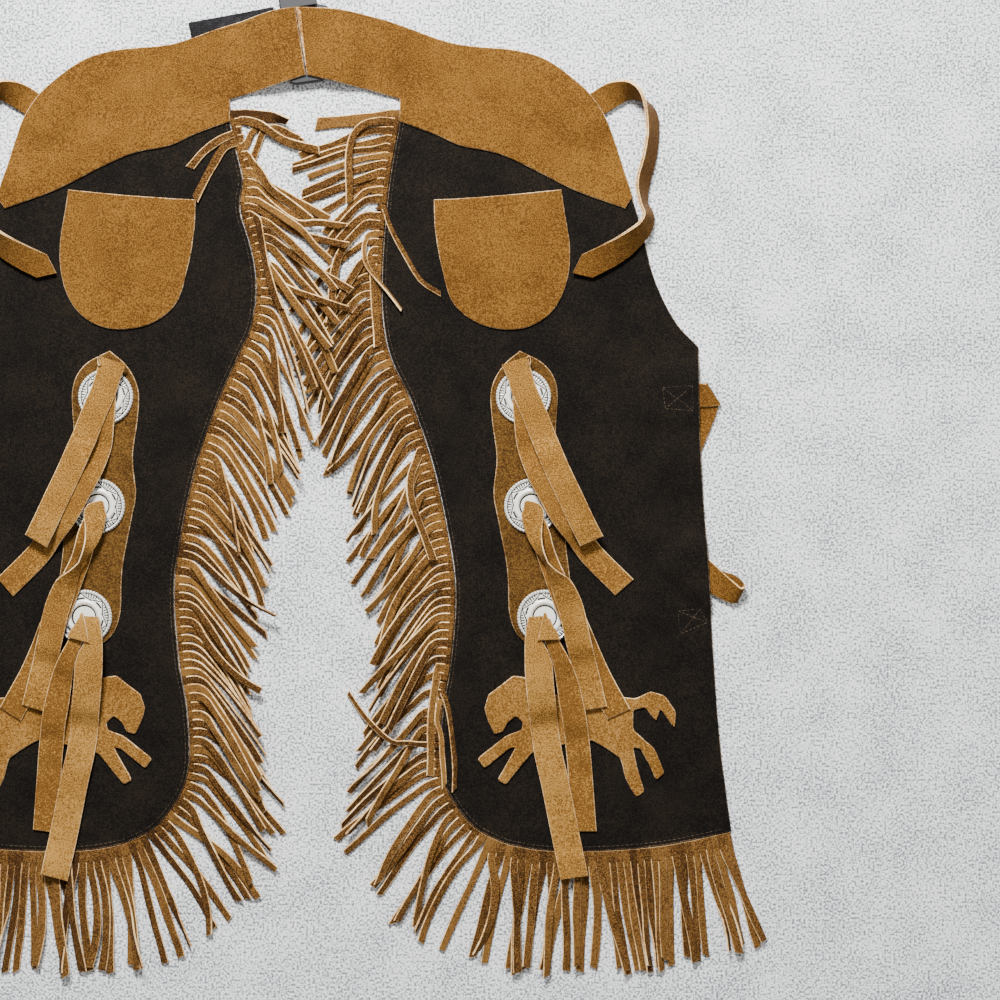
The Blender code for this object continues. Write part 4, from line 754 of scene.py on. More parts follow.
def noise(tree, coordinates, scale, detail, roughness=0.6):
    node = tree.nodes.new("ShaderNodeTexNoise")
    fill(node, Scale=scale, Detail=detail, Roughness=roughness)
    tree.links.new(coordinates, node.inputs["Vector"])
    return node.outputs["Fac"]


def arithmetic(tree, operation, a, b):
    node = tree.nodes.new("ShaderNodeMath")
    node.operation = operation
    for socket, value in zip(node.inputs, (a, b)):
        if isinstance(value, (int, float)):
            socket.default_value = value
        else:
            tree.links.new(value, socket)
    return node.outputs[0]


def start(name):
    """A new material with its node tree, its shader and its coordinates."""
    made = bpy.data.materials.new(name)
    made.use_nodes = True
    tree = made.node_tree
    return made, tree, tree.nodes["Principled BSDF"], tree.nodes.new("ShaderNodeTexCoord").outputs["Object"]


def coloured(tree, shader, amount, tones, stops=(0.25, 0.5, 0.78)):
    """Colour by an amount, through three tones at three stops."""
    node = tree.nodes.new("ShaderNodeValToRGB")
    elements = node.color_ramp.elements
    elements[0].position = stops[0]
    elements[1].position = stops[2]
    elements.new(stops[1])
    for element, tone in zip(elements, tones):
        element.color = (*tone, 1)
    tree.links.new(amount, node.inputs["Fac"])
    tree.links.new(node.outputs["Color"], shader.inputs["Base Color"])


def embossed(tree, shader, height, strength, distance):
    """Relief by a height."""
    relief = tree.nodes.new("ShaderNodeBump")
    fill(relief, Strength=strength, Distance=distance)
    tree.links.new(height, relief.inputs["Height"])
    tree.links.new(relief.outputs["Normal"], shader.inputs["Normal"])


def suede(name, tones, blotch, grain, speck, bump, sheen, roughness=0.95, tinted=False, fine_scale=GRAIN):
    """Napped suede: wide blotches, a middle mottle, a fine grain and, if asked, a tone for each strand."""
    made, tree, shader, coordinates = start(name)
    wide = noise(tree, coordinates, BLOTCHES, 3.0)
    mottle = noise(tree, coordinates, MOTTLE, 4.0, 0.7)
    fine = noise(tree, coordinates, fine_scale, 2.0)
    mixed = arithmetic(tree, "MULTIPLY", wide, blotch)
    for part, share in ((mottle, speck), (fine, grain)):
        mixed = arithmetic(tree, "ADD", mixed, arithmetic(tree, "MULTIPLY", part, share))
    if tinted:
        tone = tree.nodes.new("ShaderNodeAttribute")
        tone.attribute_name = "tone"
        mixed = arithmetic(tree, "ADD", mixed, tone.outputs["Fac"])
    spread = 0.5 * (blotch + grain + speck)
    tones = [linear(tone) for tone in tones]
    coloured(tree, shader, mixed, tones, (spread - CONTRAST, spread, spread + CONTRAST))
    fill(shader, Roughness=roughness, Sheen_Weight=sheen, Sheen_Roughness=0.45, Specular_IOR_Level=0.15)
    embossed(tree, shader, arithmetic(tree, "ADD", fine, mottle), bump, SOFT_RELIEF)
    return made


def plain(name, colour, roughness, metallic=0.0, bump=0.1, vary=0.12):
    """A hard surface with a faint unevenness."""
    made, tree, shader, coordinates = start(name)
    uneven = noise(tree, coordinates, UNEVEN, 3.0)
    colour = linear(colour)
    low = tuple(c * (1 - vary) for c in colour)
    high = tuple(min(1.0, c * (1 + vary)) for c in colour)
    coloured(tree, shader, uneven, (low, colour, high))
    fill(shader, Roughness=roughness, Metallic=metallic)
    embossed(tree, shader, uneven, bump, HARD_RELIEF)
    return made


def woven(look):
    """Webbing with fine ribs across and lines along it."""
    made = suede(*look, roughness=0.8)
    tree = made.node_tree
    waves = []
    for way in ("X", "Y"):
        wave = tree.nodes.new("ShaderNodeTexWave")
        wave.bands_direction = way
        fill(wave, Scale=260.0, Distortion=0.6)
        tree.links.new(tree.nodes["Texture Coordinate"].outputs["Object"], wave.inputs["Vector"])
        waves.append(wave.outputs["Fac"])
    fill(tree.nodes["Bump"], Strength=0.8)
    tree.links.new(arithmetic(tree, "MULTIPLY", *waves), tree.nodes["Bump"].inputs["Height"])
    return made


MATERIALS = {kind: suede(*look, tinted=kind in TINTED) for kind, look in SUEDES.items()}
MATERIALS["webbing"] = woven(WEBBING_LOOK)
MATERIALS["plastic"] = plain("buckle_plastic", (21, 19, 23), 0.5, bump=0.15)
MATERIALS["silver"] = plain("concho_silver", (250, 247, 236), 0.3, metallic=0.15, bump=0.06, vary=0.03)
MATERIALS["patina"] = plain("concho_patina", (30, 28, 24), 0.7, vary=0.3)


def piece_of(name, verts, faces, slots, materials, node, sharp=38, tone=None):
    """A dressed piece from points in millimetres, standing for its node."""
    mesh = bpy.data.meshes.new(name)
    mesh.from_pydata((np.array(verts, float) * MM).tolist(), [], faces)
    for key in materials:
        mesh.materials.append(MATERIALS[key])
    mesh.polygons.foreach_set("material_index", slots)
    if tone is not None:
        mesh.attributes.new("tone", "FLOAT", "POINT").data.foreach_set("value", tone)
    work = bmesh.new()
    work.from_mesh(mesh)
    bmesh.ops.recalc_face_normals(work, faces=work.faces)
    work.to_mesh(mesh)
    work.free()
    mesh.shade_smooth()
    mesh.set_sharp_from_angle(angle=math.radians(sharp))
    made = bpy.data.objects.new(name, mesh)
    bpy.context.scene.collection.objects.link(made)
    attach(made, "root")
    if node:
        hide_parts(node)
    return made


def tube(first, rings, size):
    """Faces between rings of points that follow each other."""
    return [(a + j, a + (j + 1) % size, a + size + (j + 1) % size, a + size + j)
            for a in range(first, first + size * (rings - 1), size) for j in range(size)]


def shoelace(rim):
    """Twice the area, below 0 where the rim runs clockwise."""
    x, y = rim.T
    return np.dot(x, np.roll(y, -1)) - np.dot(y, np.roll(x, -1))


def inset(rim, distance):
    """The rim moved inwards by a distance."""
    ahead = np.roll(rim, -1, axis=0) - np.roll(rim, 1, axis=0)
    ahead /= np.maximum(np.linalg.norm(ahead, axis=1), 1e-6)[:, None]
    return rim + left_of(ahead) * distance * (1 if shoelace(rim) > 0 else -1)


def ragged(rim, seed):
    """A hand-cut edge: each point a little in or out."""
    random = np.random.default_rng(seed)
    wander = np.convolve(random.normal(0, 1, len(rim) + 4), np.ones(5) / 5, mode="valid")
    return rim + (inset(rim, 1.0) - rim) * (wander * RAGGED)[:, None]


def creased(bottom, rows, side):
    """The height with soft creases: each a line, its width and its height, which fades to both ends."""
    lines = [(evenly(spline(mirrored(points, side)), LINE_STEP), width, height) for points, width, height in rows]

    def height_at(x, y):
        lift = np.zeros(np.shape(x))
        for line, width, height in lines:
            for k, (cx, cy) in enumerate(line):
                fade = math.sin(math.pi * (k + 0.5) / len(line)) ** 0.7
                near = ((x - cx) ** 2 + (y - cy) ** 2) / width ** 2
                lift = np.maximum(lift, height * fade * np.exp(-near))
        return bottom(x, y) + lift
    return height_at


def cloth(name, rim, bottom, finish, node, seed, cut="cut_tan", spacing=FINE_GRID,
          edge=None):
    """A suede panel with a pale cut edge; bottom gives the height of its underside."""
    rim = ragged(rim, seed)
    points = np.vstack([inset(rim, edge(rim) if edge else EDGE), grid_inside(rim, spacing)])
    around = range(len(rim))
    loop = [(k, (k + 1) % len(rim)) for k in around]
    flat = delaunay_2d_cdt([Vector(p) for p in points], loop, [list(around)], 1, 1e-5)
    top = np.array([tuple(p) for p in flat[0]])
    count = len(top)
    under = top.copy()
    under[:len(rim)] = rim
    nap = np.random.default_rng(seed + 100).normal(0, NAP, count)
    low = bottom(*under.T)
    verts = np.vstack([
        np.column_stack([under, low]),
        np.column_stack([top, bottom(*top.T) + SUEDE + nap]),
        np.column_stack([rim, low[:len(rim)] + SUEDE * BEVEL_START]),
    ])
    faces = []
    edges = set()
    for face in flat[2]:
        faces += [[v + count for v in face], list(face)[::-1]]
        edges.update(zip(face, [*face[1:], face[0]]))
    slots = [0] * len(faces)
    for a, b in edges:
        if (b, a) in edges:
            continue
        if max(a, b) < len(rim):
            faces.append((a, b, b + 2 * count, a + 2 * count))
            faces.append((a + 2 * count, b + 2 * count, b + count, a + count))
        else:
            faces.append((a, b, b + count, a + count))
    slots += [1] * (len(faces) - len(slots))
    made = piece_of(name, verts, faces, slots, (finish, cut), node)


class Strips:
    """Bands of cloth with pale cut edges, gathered into one mesh."""

    def __init__(self):
        self.verts = []
        self.faces = []
        self.slots = []
        self.tones = []

    def band(self, centres, halves, thickness=SUEDE, edge=STRAND_EDGE, tone=0.0, skew=0.0, point=0.0,
             kinds=(0, 2, 1, 0, 1, 2), uncut=0):
        """A band along its centres with a half width vector at each, and a finish for each side of it; by default
        both lower sides are painted shade.
        """
        halves = np.array(halves, float)
        ahead = np.gradient(centres, axis=0)
        normal = np.cross(ahead, halves)
        normal = unit(normal * (-1 if normal[0, 2] < 0 else 1))
        step = unit(ahead)
        size = np.linalg.norm(halves, axis=1)[:, None]
        slope = np.linspace(0, 1, len(centres)) ** 8
        first = len(self.verts)
        rings = []
        low = -thickness / 2
        high = thickness / 2
        bevel = low + thickness * BEVEL_START
        for across, up in ((-1, low), (1, low), (1, bevel), (1, high), (-1, high), (-1, bevel)):
            back = edge if up == high else 0
            shift = step * (slope * skew * across)[:, None] - step * (slope * back)[:, None]
            rings.append(centres + halves / size * ((size - back) * across) + normal * up + shift)
        self.verts += np.array(rings).transpose(1, 0, 2).reshape(-1, 3).tolist()
        self.faces += tube(first, len(centres), 6)
        self.slots += [kinds[j] if k >= uncut else 0 for k in range(len(centres) - 1) for j in range(6)]
        self.faces.append(tuple(range(first, first + 6)))
        self.slots.append(1)
        last = len(self.verts) - 6
        if point:
            tip = centres[-1] + step[-1] * point
            base = len(self.verts)
            for up in (low, bevel, high):
                self.verts.append((tip - step[-1] * (edge if up == high else 0) + normal[-1] * up).tolist())
            self.faces += [(last, last + 1, base), (last + 1, last + 2, base + 1, base),
                           (last + 2, last + 3, base + 2, base + 1), (last + 3, last + 4, base + 2),
                           (last + 4, last + 5, base + 1, base + 2), (last + 5, last, base, base + 1)]
            self.slots += [0, 1, 1, 0, 1, 1]
        else:
            self.faces.append(tuple(range(last, last + 6)))
            self.slots.append(1)
        self.tones += [tone] * (len(self.verts) - len(self.tones))

    # The third material, under, is the painted shade of the lower sides
    def piece(self, name, finish, node, cut="cut", under="shade"):
        return piece_of(name, self.verts, self.faces, self.slots, (finish, cut, under), node,
                        tone=self.tones)


def smooth_along(shares, values, where):
    """Values between stations, with the corners eased."""
    fine = np.linspace(0, 1, 201)
    rough = np.interp(fine, shares, values)
    kernel = np.hanning(15)
    kernel /= kernel.sum()
    eased = np.convolve(np.pad(rough, 7, mode="edge"), kernel, mode="valid")
    return np.interp(where, fine, np.maximum(eased, rough - 0.25))


def comb(name, side, word, hang, ground, seed):
    """A strip along a panel's edge with its strands, laid as in the solid and then drawn finer."""
    finer = np.random.default_rng(seed + 500)
    edge, uncut, broad, by, shares = FRINGES[name]
    line, roots = leg_edges(side)
    near, far, outward = backing(line, roots[name])
    strips = Strips()
    middle = mirrored((near + far) / 2, side)
    # The strip under the roots is painted shade all over, so that the gaps between the roots look dark
    strips.band(at_height(middle, GAP + BACKING_THICK / 2), at_height(mirrored(near, side) - middle, 0.0),
                BACKING_THICK, edge=0.1, kinds=(2,) * 6)
    base = GAP + BACKING_THICK
    for k, width, pitch, nodes, way, lift, slope in laid_strands(
            side, near, far, outward, hang, by, shares, ground, seed):
        root = way([0.0])[0]
        away = (outward[k] + outward[k + 1]) / 2
        fine = way(SECTIONS)
        phase = finer.uniform(0, 2 * math.pi)
        wander = WOBBLE * np.sin(phase + SECTIONS * finer.uniform(*WOBBLE_TURNS))
        wander = wander * np.clip(SECTIONS * WOBBLE_START, 0, 1)
        fine = fine + left_of(headings(fine)) * wander[:, None]
        lifts = smooth_along(nodes, [GAP, *lift[1:]], SECTIONS)
        tilts = smooth_along(nodes, [BACKING_LEAN, *slope[1:]], SECTIONS)
        curl = finer.uniform(*(CURL if finer.uniform() < CURLED_SHARE else SLIGHT_CURL))
        tilts = tilts + curl * np.clip((SECTIONS - finer.uniform(*CURL_START)) / CURL_RUN, 0, 1)
        wide = (min(pitch + ROOT_OVERLAP, width + ROOT_WIDER), width * broad)
        wave = 1 + WIDTH_WAVE * np.sin(phase + SECTIONS * WIDTH_TURNS)
        spread = np.interp(SECTIONS, (0, nodes[1]), wide) * wave
        # the part on top of the strip comes first
        fine = mirrored(np.vstack([root - away * ON_BACKING, root - away * ON_BACKING * 0.45, fine]), side)
        lifts = np.maximum(lifts, base * np.clip(1 - SECTIONS * ROOT_END, 0, 1))
        lifts = np.concatenate([[base, base + 0.05], lifts])
        tilts = np.concatenate([[BACKING_LEAN, BACKING_LEAN], tilts])
        spread = np.concatenate([[wide[0], wide[0]], spread])
        cosine = 1 / np.sqrt(1 + tilts ** 2)
        sine = tilts * cosine
        aside = -left_of(headings(fine)) * side
        half = at_height(aside * cosine[:, None], sine) * (spread / 2)[:, None]
        height = lifts + spread / 2 * sine + STRAND_THICK / 2 * cosine
        # Most strands keep the pale cut edge on their raised side only; the other side is painted shade
        strips.band(at_height(fine, height), half, STRAND_THICK, edge, finer.normal(0, STRAND_TONE),
                    finer.normal(0, STRAND_SKEW), uncut=1 + int(np.sum(distances(fine[2:]) < uncut)),
                    kinds=RIGHT_EDGE_LEFT_SHADED if finer.uniform() < ONE_LIT_EDGE_SHARE else BOTH_EDGES)
    strips.piece(f"{name}_fringe_{word}", "fringe", f"fringe_{name}_{word}")


# Concho relief: radius, height above the strip; then its rings as runs of radii: first, last, count
CONCHO_RELIEF = [(0, 1), (7.8, 1), (8.6, 1.7), (9.6, 2.6), (10.7, 2.9), (11.8, 2.6), (12.6, 1.5), (14.8, 1.8),
                 (17, 1.5), (17.5, 1.6), (18.3, 1.8), (19, 1.2), (19.2, 0.5)]
CONCHO_RINGS = [(1.0, 7.6, 6), (8.0, 12.4, 14), (12.65, 17.2, 19), (17.45, 19.2, 9)]
CONCHO_TURNS = (16.0, 28.0, 40.0)
CONCHO_FOOT = 18.6
CONCHO_SPOKES = 216
ENGRAVING = 0.22
ENGRAVED_UP_TO = 17.3
FANS = 6
BEADS = 54
BEAD_HEIGHT = 0.45
BEAD_CIRCLE = 18.2
BEAD_REACH = 0.9


def engraved(radius, angle):
    """True where the concho's fans of rays, scallops and rings are cut and darkened."""
    turn = (angle / (2 * math.pi) * FANS) % 1.0
    off = np.abs(2 * turn - 1)
    spoke = np.floor(angle / (2 * math.pi) * CONCHO_SPOKES)
    scallop = 12.9 + 3.6 * off ** 1.6
    edge = np.abs(radius - scallop) < 0.46
    rays = (spoke % 4 < 2) & (radius > scallop + 0.9) & (radius < 16.4) & (off < 0.72)
    crescent = (off > 0.62) & (np.abs(radius - 13.3) < 0.6)
    ring = np.abs(radius - 16.8) < 0.3
    beads = (spoke % 4 == 0) & (radius > 17.8) & (radius < 19.1)
    pits = (spoke % 8 == 4) & (np.abs(radius - 17.5) < 0.25)
    well = (radius < 8.6) & (radius > 7.7)
    return edge | rays | crescent | ring | beads | pits | well


def concho(name, node, centre, base, degrees, side):
    """A stamped ornament: beaded rim, engraved ring, raised inner ring and a sunk middle."""
    radii = np.concatenate([np.linspace(*run) for run in CONCHO_RINGS])
    angles = np.arange(CONCHO_SPOKES) / CONCHO_SPOKES * 2 * math.pi
    r, a = np.meshgrid(radii, angles, indexing="ij")
    height = np.interp(r, *np.array(CONCHO_RELIEF, float).T)
    height -= ENGRAVING * engraved(r, a) * (r < ENGRAVED_UP_TO)
    beads = np.clip(1 - np.abs(r - BEAD_CIRCLE) / BEAD_REACH, 0, 1)
    height += BEAD_HEIGHT * np.abs(np.sin(a * BEADS / 2)) * beads
    spin = a * side + math.radians(degrees)
    x = centre[0] + r * np.cos(spin)
    y = centre[1] + r * np.sin(spin)
    verts = np.column_stack([x.ravel(), y.ravel(), base + height.ravel()]).tolist()
    faces = tube(0, len(radii), CONCHO_SPOKES)
    middles = (radii[:-1] + radii[1:]) / 2
    dark = engraved(*np.meshgrid(middles, angles + math.pi / CONCHO_SPOKES, indexing="ij"))
    slots = dark.ravel().astype(int).tolist()
    top = len(verts)
    outer = top - CONCHO_SPOKES
    verts.append((*centre, base + 1.0))
    for turn in angles * side + math.radians(degrees):
        verts.append((centre[0] + CONCHO_FOOT * math.cos(turn), centre[1] + CONCHO_FOOT * math.sin(turn), base))
    for j in range(CONCHO_SPOKES):
        n = (j + 1) % CONCHO_SPOKES
        faces += [(top, n, j), (outer + j, outer + n, top + 1 + n, top + 1 + j)]
    faces.append(tuple(range(top + 1, top + 1 + CONCHO_SPOKES)))
    slots += [0] * (2 * CONCHO_SPOKES + 1)
    piece_of(name, verts, faces, slots, ("silver", "patina"), node, sharp=50)


# Where the lace ends narrow, turn on edge or are torn: share of the length, width share, tilt in degrees,
# shift across in widths
TIE_SHAPES = {
    "tie_1_under": [(0, 0.55, 0, 0), (0.12, 0.7, 0, 0), (0.3, 0.9, 0, 0), (0.6, 1, 0, 0)],
    "tie_1_upper": [(0, 1.1, 0, 0), (0.08, 1, 0, 0)],
    "tie_2_under": [(0, 0.5, 0, 0), (0.15, 0.75, 12, 0), (0.3, 0.8, 12, 0), (0.5, 1, 0, 0)],
    "tie_2_upper": [(0, 0.15, 0, 0), (0.05, 0.95, 0, 0), (0.11, 0.8, 10, 0), (0.18, 0.62, 30, 0),
                    (0.25, 0.5, 60, 0), (0.3, 0.4, 70, 0), (0.35, 0.6, 50, 0), (0.42, 0.9, 15, 0), (0.5, 1, 0, 0)],
    "tie_3_under": [(0, 0.5, 0, 0), (0.15, 0.6, 10, 0.1), (0.3, 0.9, 0, 0.05), (0.4, 1, 0, 0)],
    "tie_3_upper": [(0, 0.55, 0, -0.1), (0.05, 0.58, 0, -0.2), (0.09, 0.6, 0, -0.22), (0.13, 0.85, 0, -0.08),
                    (0.18, 1, 0, 0)],
}
# The torn tongue on the third concho and the small roll at the first lace's fold, as places in the photo
TONGUE = [(544.5, 612, 0.8), (545, 618, 2.2), (546, 625, 4.3), (547.5, 632, 6.3), (548.6, 639, 7.9)]
ROLL_CENTRE = (528.3, 362.0)
ROLL_REACH = (1.3, 3.3)


def from_pixels(points):
    """Places read off the photo, at 0.7 mm to its pixel."""
    return [((x - 315) * 0.7, (484 - y) * 0.7) for x, y in points]


def tie(name, word, width, tone, points, side, ground):
    """One lace end, laid as in the solid."""
    way = spline(mirrored(points, side))
    line = evenly(way, BAND_STEP)
    lift, slope = ground.lay(line, width, 1, [0.0] * len(line), 0.0, TIE_MARGIN)
    ground.pile(line, width, SUEDE, 1, lift, slope, TIE_MARGIN)
    fine = evenly(way, BAND_RINGS)
    where = np.linspace(0, 1, len(fine))
    rises = smooth_along(np.linspace(0, 1, len(line)), lift, where)
    shares, spread, tilt, shift = np.array(TIE_SHAPES[name], float).T
    spread = np.interp(where, shares, spread) * width / 2
    tilt = np.radians(np.interp(where, shares, tilt * side))
    aside = left_of(headings(fine))
    fine = fine + aside * side * (np.interp(where, shares, shift) * width)[:, None]
    half = at_height(aside * np.cos(tilt)[:, None], np.sin(tilt)) * spread[:, None]
    height = rises + SUEDE / 2 + np.abs(half[:, 2])
    strips = Strips()
    strips.band(at_height(fine, height), half, edge=0.5, skew=0.6, tone=tone)
    if name == "tie_3_upper":
        rows = np.array(TONGUE)
        flap = spline(at_height(mirrored(from_pixels(rows[:, :2]), side), rows[:, 2]), 5)
        across = left_of(headings(flap[:, :2])) * flap[:, 2:]
        level = height[:len(flap)].max() + SUEDE + 0.3
        strips.band(at_height(flap[:, :2], level), at_height(across, 0.0), edge=0.45, skew=0.8, tone=0.04)
    if name == "tie_1_upper":
        angles = np.linspace(-2.7, 2.4, 22)
        place = mirrored(from_pixels([ROLL_CENTRE]), side)[0]
        loop = place + np.column_stack([ROLL_REACH[0] * np.cos(angles) * side, ROLL_REACH[1] * np.sin(angles)])
        strips.band(at_height(loop, height[0] + 0.5), [(0, 0, 1.1)] * len(loop), 0.8, edge=0.2)
    made = strips.piece(f"lace_{name[4:]}_{word}", "tie", f"{name}_{word}")


def hip_strap(word, side):
    """The doubled strap that loops out from under the yoke and lies back on the leg."""
    centres, halves = hip_strap_rings(side, FINE_RIM)
    normal = unit(np.cross(np.gradient(centres, axis=0), halves))
    layer = DOUBLED / 2 - LAYER_GAP
    strips = Strips()
    # Pale cut edges on the raised side only; the lower side is painted shade
    for up in (-1, 1):
        strips.band(centres + normal * up * (layer / 2 + LAYER_GAP), halves, layer, edge=0.3,
                    point=HIP_STRAP_POINT, kinds=RIGHT_EDGE_LEFT_SHADED)
    made = strips.piece(f"hip_strap_loop_{word}", "tan", f"hip_strap_{word}")


def leg_strap(name, word, rows, side):
    rows = spline(rows, 8)
    centres = mirrored(rows[:, :3], side)
    halves = mirrored(rows[:, 3:], side)
    strips = Strips()
    strips.band(centres, halves, edge=0.5, kinds=(0, 1, 1, 0, 1, 1))
    made = strips.piece(f"{name}_loop_{word}", "tan", f"{name}_{word}")


def webbing(name, width, points):
    way = spline(points)
    line = evenly(way, LINE_STEP)
    strips = Strips()
    strips.band(at_height(line, WEBBING_THICK / 2), at_height(left_of(headings(line)), 0.0) * width / 2,
                WEBBING_THICK, edge=0.3)
    made = strips.piece(f"{name}_weave", "webbing", name, cut="webbing", under="webbing")


def stitches(name, runs, height, finish, radius=0.26):
    """Rows of thread: each run is a line, the stitch length and the space to the next one."""
    verts = []
    faces = []
    for line, length, space in runs:
        line = np.array(line, float)
        for first in np.arange(space / 2, distances(line)[-1] - length, length + space):
            ends = along(line, np.array([first, first + length / 2, first + length]))
            step = ends[2] - ends[0]
            step /= max(np.linalg.norm(step), 1e-6)
            aside = np.array([-step[1], step[0]])
            level = height(*ends.T)
            base = len(verts)
            for k, (thick, up) in enumerate(((0.65, 0.05), (1.0, 0.16), (0.65, 0.05))):
                for across, rise in ((-1, 0), (0, -1), (1, 0), (0, 1)):
                    place = ends[k] + aside * across * radius * thick
                    verts.append((*place, level[k] + up + rise * radius * thick))
            faces += [*tube(base, 3, 4), tuple(range(base, base + 4)), tuple(range(base + 8, base + 12))]
    piece_of(name, verts, faces, [0] * len(faces), (finish,), None)


def join_edge(rim):
    """Width of the pale cut edge: the right belt's end shows its thick edge, widest at the top."""
    (low_x, low_y), (high_x, high_y) = JOIN_RIGHT
    shares = np.clip((rim[:, 1] - low_y) / (high_y - low_y), 0, 1)
    at_join = (np.abs(rim[:, 0] - (low_x + shares * (high_x - low_x))) < 0.6) & (shares > 0)
    return np.where(at_join, np.interp(shares, (0, 0.3, 1), (0.4, 0.9, 3.4)), EDGE)[:, None]


# Creases that the leather keeps: points, width, height; the first of the yoke is the right belt's alone
LEG_RIDGES = [
    ([(196, 120), (214, 84), (226, 30)], 9.0, 0.8),
    ([(108, 92), (98, 30), (108, -40)], 8.0, 0.5),
    ([(236, 0), (246, -50), (240, -128)], 9.0, 0.8),
    ([(105, -100), (101, -140), (102, -172)], 5.0, 0.4),
    ([(205, -205), (235, -222), (268, -214)], 9.0, 0.6),
    ([(72, 190), (66, 160), (70, 128)], 6.0, 0.5),
]
YOKE_RIDGES = [
    ([(6.5, 326), (8.0, 305), (9.5, 287)], 3.2, 0.9),
    ([(60, 306), (100, 290), (150, 272)], 12.0, 0.6),
    ([(112, 252), (152, 240), (192, 216)], 9.0, 0.5),
    ([(-2, 324), (-1, 308), (2, 290)], 4.0, 0.5),
]
POCKET_RIDGES = [
    ([(100, 160), (126, 150), (152, 158)], 9.0, 0.6),
    ([(112, 190), (120, 170), (114, 140)], 8.0, 0.5),
]
# Stitch length and the space to the next one, the seam's way in from the edge, and half a thread's width
LEG_STITCHES = (2.3, 1.0)
BOX_STITCHES = (2.0, 0.9)
BELT_STITCHES = (1.7, 0.8)
SEAM_INSET = 2.6
THIN_THREAD = 0.18
# Seeds of the ragged edges, to which the side is added
LEG_SEED = 3
YOKE_SEED = 13
POCKET_SEED = 23
STRIP_SEED = 33
HORSE_SEED = 43
# Loose threads on the belt and the corners of the stitched boxes, as places in the photo
BELT_SCRATCHES = [[(205.8, 74.6), (251.4, 22.4)], [(252.2, 23.2), (257.5, 30.0)],
                  [(205, 65.5), (220, 70), (245, 76)], [(205, 36), (236, 27.6), (262, 20.6)]]
BOXES = [[(662, 388), (692, 386), (692.6, 411), (665, 409)],
         [(677.7, 611), (700, 609), (707, 622.6), (680.4, 634)]]


def box_stitches(corners, side):
    """A stitched box with its two diagonals."""
    rows = mirrored(from_pixels(corners), side)
    return [(line, *BOX_STITCHES) for line in (np.vstack([rows, rows[:1]]), rows[[0, 2]], rows[[1, 3]])]


def chaikin(rim, times=2):
    """Corners cut off a little, as a blade rounds them."""
    for _ in range(times):
        after = np.roll(rim, -1, axis=0)
        rim = np.stack([0.91 * rim + 0.09 * after, 0.09 * rim + 0.91 * after], axis=1).reshape(-1, 2)
    return rim


def build_leg(side, word, ground):
    """Everything of one leg except its fringe and laces."""
    rim = leg_rim(side)
    line = leg_edges(side)[0]
    under = over_straps(side)
    bottom = creased(under, LEG_RIDGES, side)
    fine = mirrored(leg_outline(evenly(line, FINE_RIM), FINE_RIM), side)
    cloth(f"leg_{word}", fine, bottom, "dark", f"leg_panel_{word}", LEG_SEED + side,
          cut="cut_dark")
    ground.cover(rim, lambda x, y: under(x, y) + SUEDE)
    leg_strap("leg_strap_upper", word, STRAP_1, side)
    leg_strap("leg_strap_lower", word, STRAP_2, side)
    seam = inset(np.vstack([line, [(291, 0)], [(61, 200)]]), SEAM_INSET)[1:-3]
    runs = [(mirrored(evenly(seam, LINE_STEP), side), *LEG_STITCHES)]
    for corners in BOXES:
        runs += box_stitches(corners, side)
    stitches(f"leg_stitches_{word}", runs, lambda x, y: bottom(x, y) + SUEDE, "thread")

    over = over_belt(side, rim)
    yoke = creased(over, YOKE_RIDGES if side > 0 else YOKE_RIDGES[1:3], side)
    cloth(f"yoke_belt_{word}", yoke_rim(side, FINE_RIM), yoke, "tan", f"yoke_{word}", YOKE_SEED + side,
          edge=join_edge if side > 0 else None)
    ground.cover(yoke_rim(side), lambda x, y: over(x, y) + SUEDE)
    if side < 0:
        runs = [(from_pixels(points), *BELT_STITCHES) for points in BELT_SCRATCHES]
        stitches("belt_stitches_left", runs, lambda x, y: yoke(x, y) + SUEDE, "tan_thread",
                 THIN_THREAD)
    pocket = creased(puffed(side), POCKET_RIDGES, side)
    cloth(f"pocket_patch_{word}", pocket_rim(side, FINE_RIM, FINE_RIM), pocket, "tan", f"pocket_{word}",
          POCKET_SEED + side)
    strip = spline(STRIP_EDGE)
    cloth(f"concho_backing_{word}", mirrored(evenly(strip, FINE_RIM)[:-1], side), flat_at(LAYER), "strip",
          f"concho_strip_{word}", STRIP_SEED + side)
    ground.cover(mirrored(evenly(strip, TRIM_STEP)[:-1], side), flat_at(LAYER + SUEDE))
    horse = mirrored(np.array(HORSE, float) + np.array(HORSE_CORNER), side)
    fine = chaikin(horse)
    fine = evenly(np.vstack([fine, fine[:1]]), HORSE_RIM)[:-1]
    cloth(f"running_horse_{word}", fine, flat_at(LAYER), "horse", f"horse_{word}", HORSE_SEED + side,
          spacing=HORSE_GRID)
    ground.cover(horse, flat_at(LAYER + SUEDE))
    for number, (centre, turn) in enumerate(zip(mirrored(CONCHOS, side), CONCHO_TURNS), 1):
        concho(f"silver_concho_{number}_{word}", f"concho_{number}_{word}", centre, 2 * LAYER, turn, side)
        ground.cover(concho_cover(centre), flat_at(2 * LAYER + CONCHO_TOP))
    hip_strap(word, side)


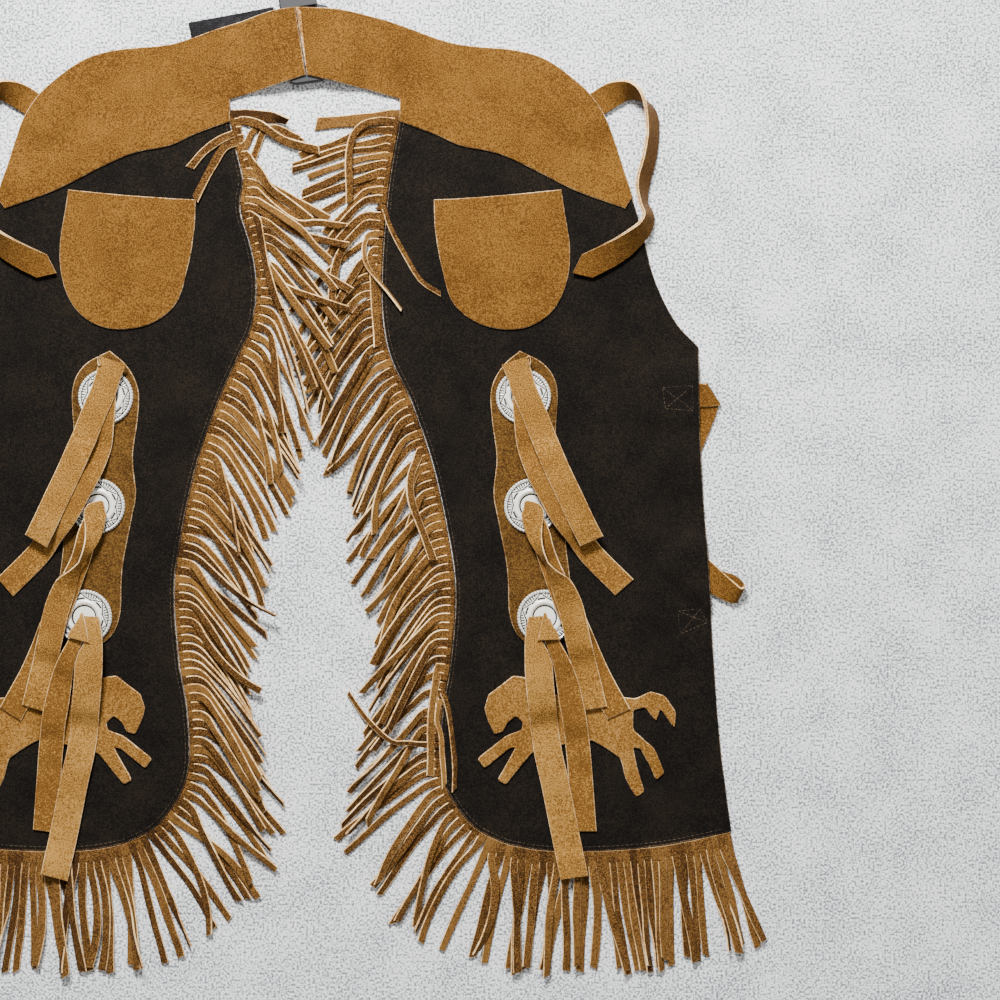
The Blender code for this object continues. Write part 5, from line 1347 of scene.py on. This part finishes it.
def build():
    ground = Ground()
    for side, word, hang, seeds in SIDES:
        build_leg(side, word, ground)
        comb("hem", side, word, HANG_HEM, ground, seeds[1])
        for name, width, tone, points in TIES:
            tie(name, word, width, tone, points, side, ground)
    for side, word, hang, seeds in SIDES:
        comb("inner", side, word, hang, ground, seeds[0])
    for row in WEBBING:
        webbing(*row)
    for name in ("buckle_socket", "buckle_plug"):
        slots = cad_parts[name].data.materials
        slots.clear()
        slots.append(MATERIALS["plastic"])


# Camera straight above: lens and sensor in millimetres, and the width of the picture in metres
LENS = 85
SENSOR = 36
PICTURE = 0.700
VIEW_CENTRE = (0.1295, -0.0112)
FLOOR_SIZE = 4.0
FLOOR_LEVEL = -0.0004
DAYLIGHT = 0.305
# Lamps: name, place, size and power; they look at one point on the floor
LIGHTS_AIM = (0.1, 0.0, 0.0)
LIGHTS = (("key", (-0.2, 1.3, 1.2), 0.4, 94.0), ("fill", (1.0, 0.1, 1.5), 1.2, 8.0))


def stage():
    """The felt floor, the light all round, two lamps and the camera."""
    bpy.ops.mesh.primitive_plane_add(size=FLOOR_SIZE, location=(0, 0, FLOOR_LEVEL))
    floor = bpy.context.object
    floor.name = "felt_floor"
    floor.data.materials.append(suede(*FELT_LOOK, roughness=1.0, fine_scale=FELT_GRAIN))
    world = bpy.data.worlds.new("soft_room")
    world.use_nodes = True
    fill(world.node_tree.nodes["Background"], Color=(1.0, 1.0, 1.0, 1), Strength=DAYLIGHT)
    bpy.context.scene.world = world
    for name, place, size, power in LIGHTS:
        light = bpy.data.lights.new(name, "AREA")
        light.size = size
        light.energy = power
        made = bpy.data.objects.new(name, light)
        made.location = place
        made.rotation_euler = (Vector(LIGHTS_AIM) - Vector(place)).to_track_quat("-Z", "Y").to_euler()
        bpy.context.scene.collection.objects.link(made)
    camera = bpy.data.cameras.new("camera")
    camera.lens = LENS
    camera.sensor_width = SENSOR
    view = bpy.data.objects.new("camera", camera)
    view.location = (*VIEW_CENTRE, PICTURE * LENS / SENSOR)
    bpy.context.scene.collection.objects.link(view)
    bpy.context.scene.camera = view


stage()
build()
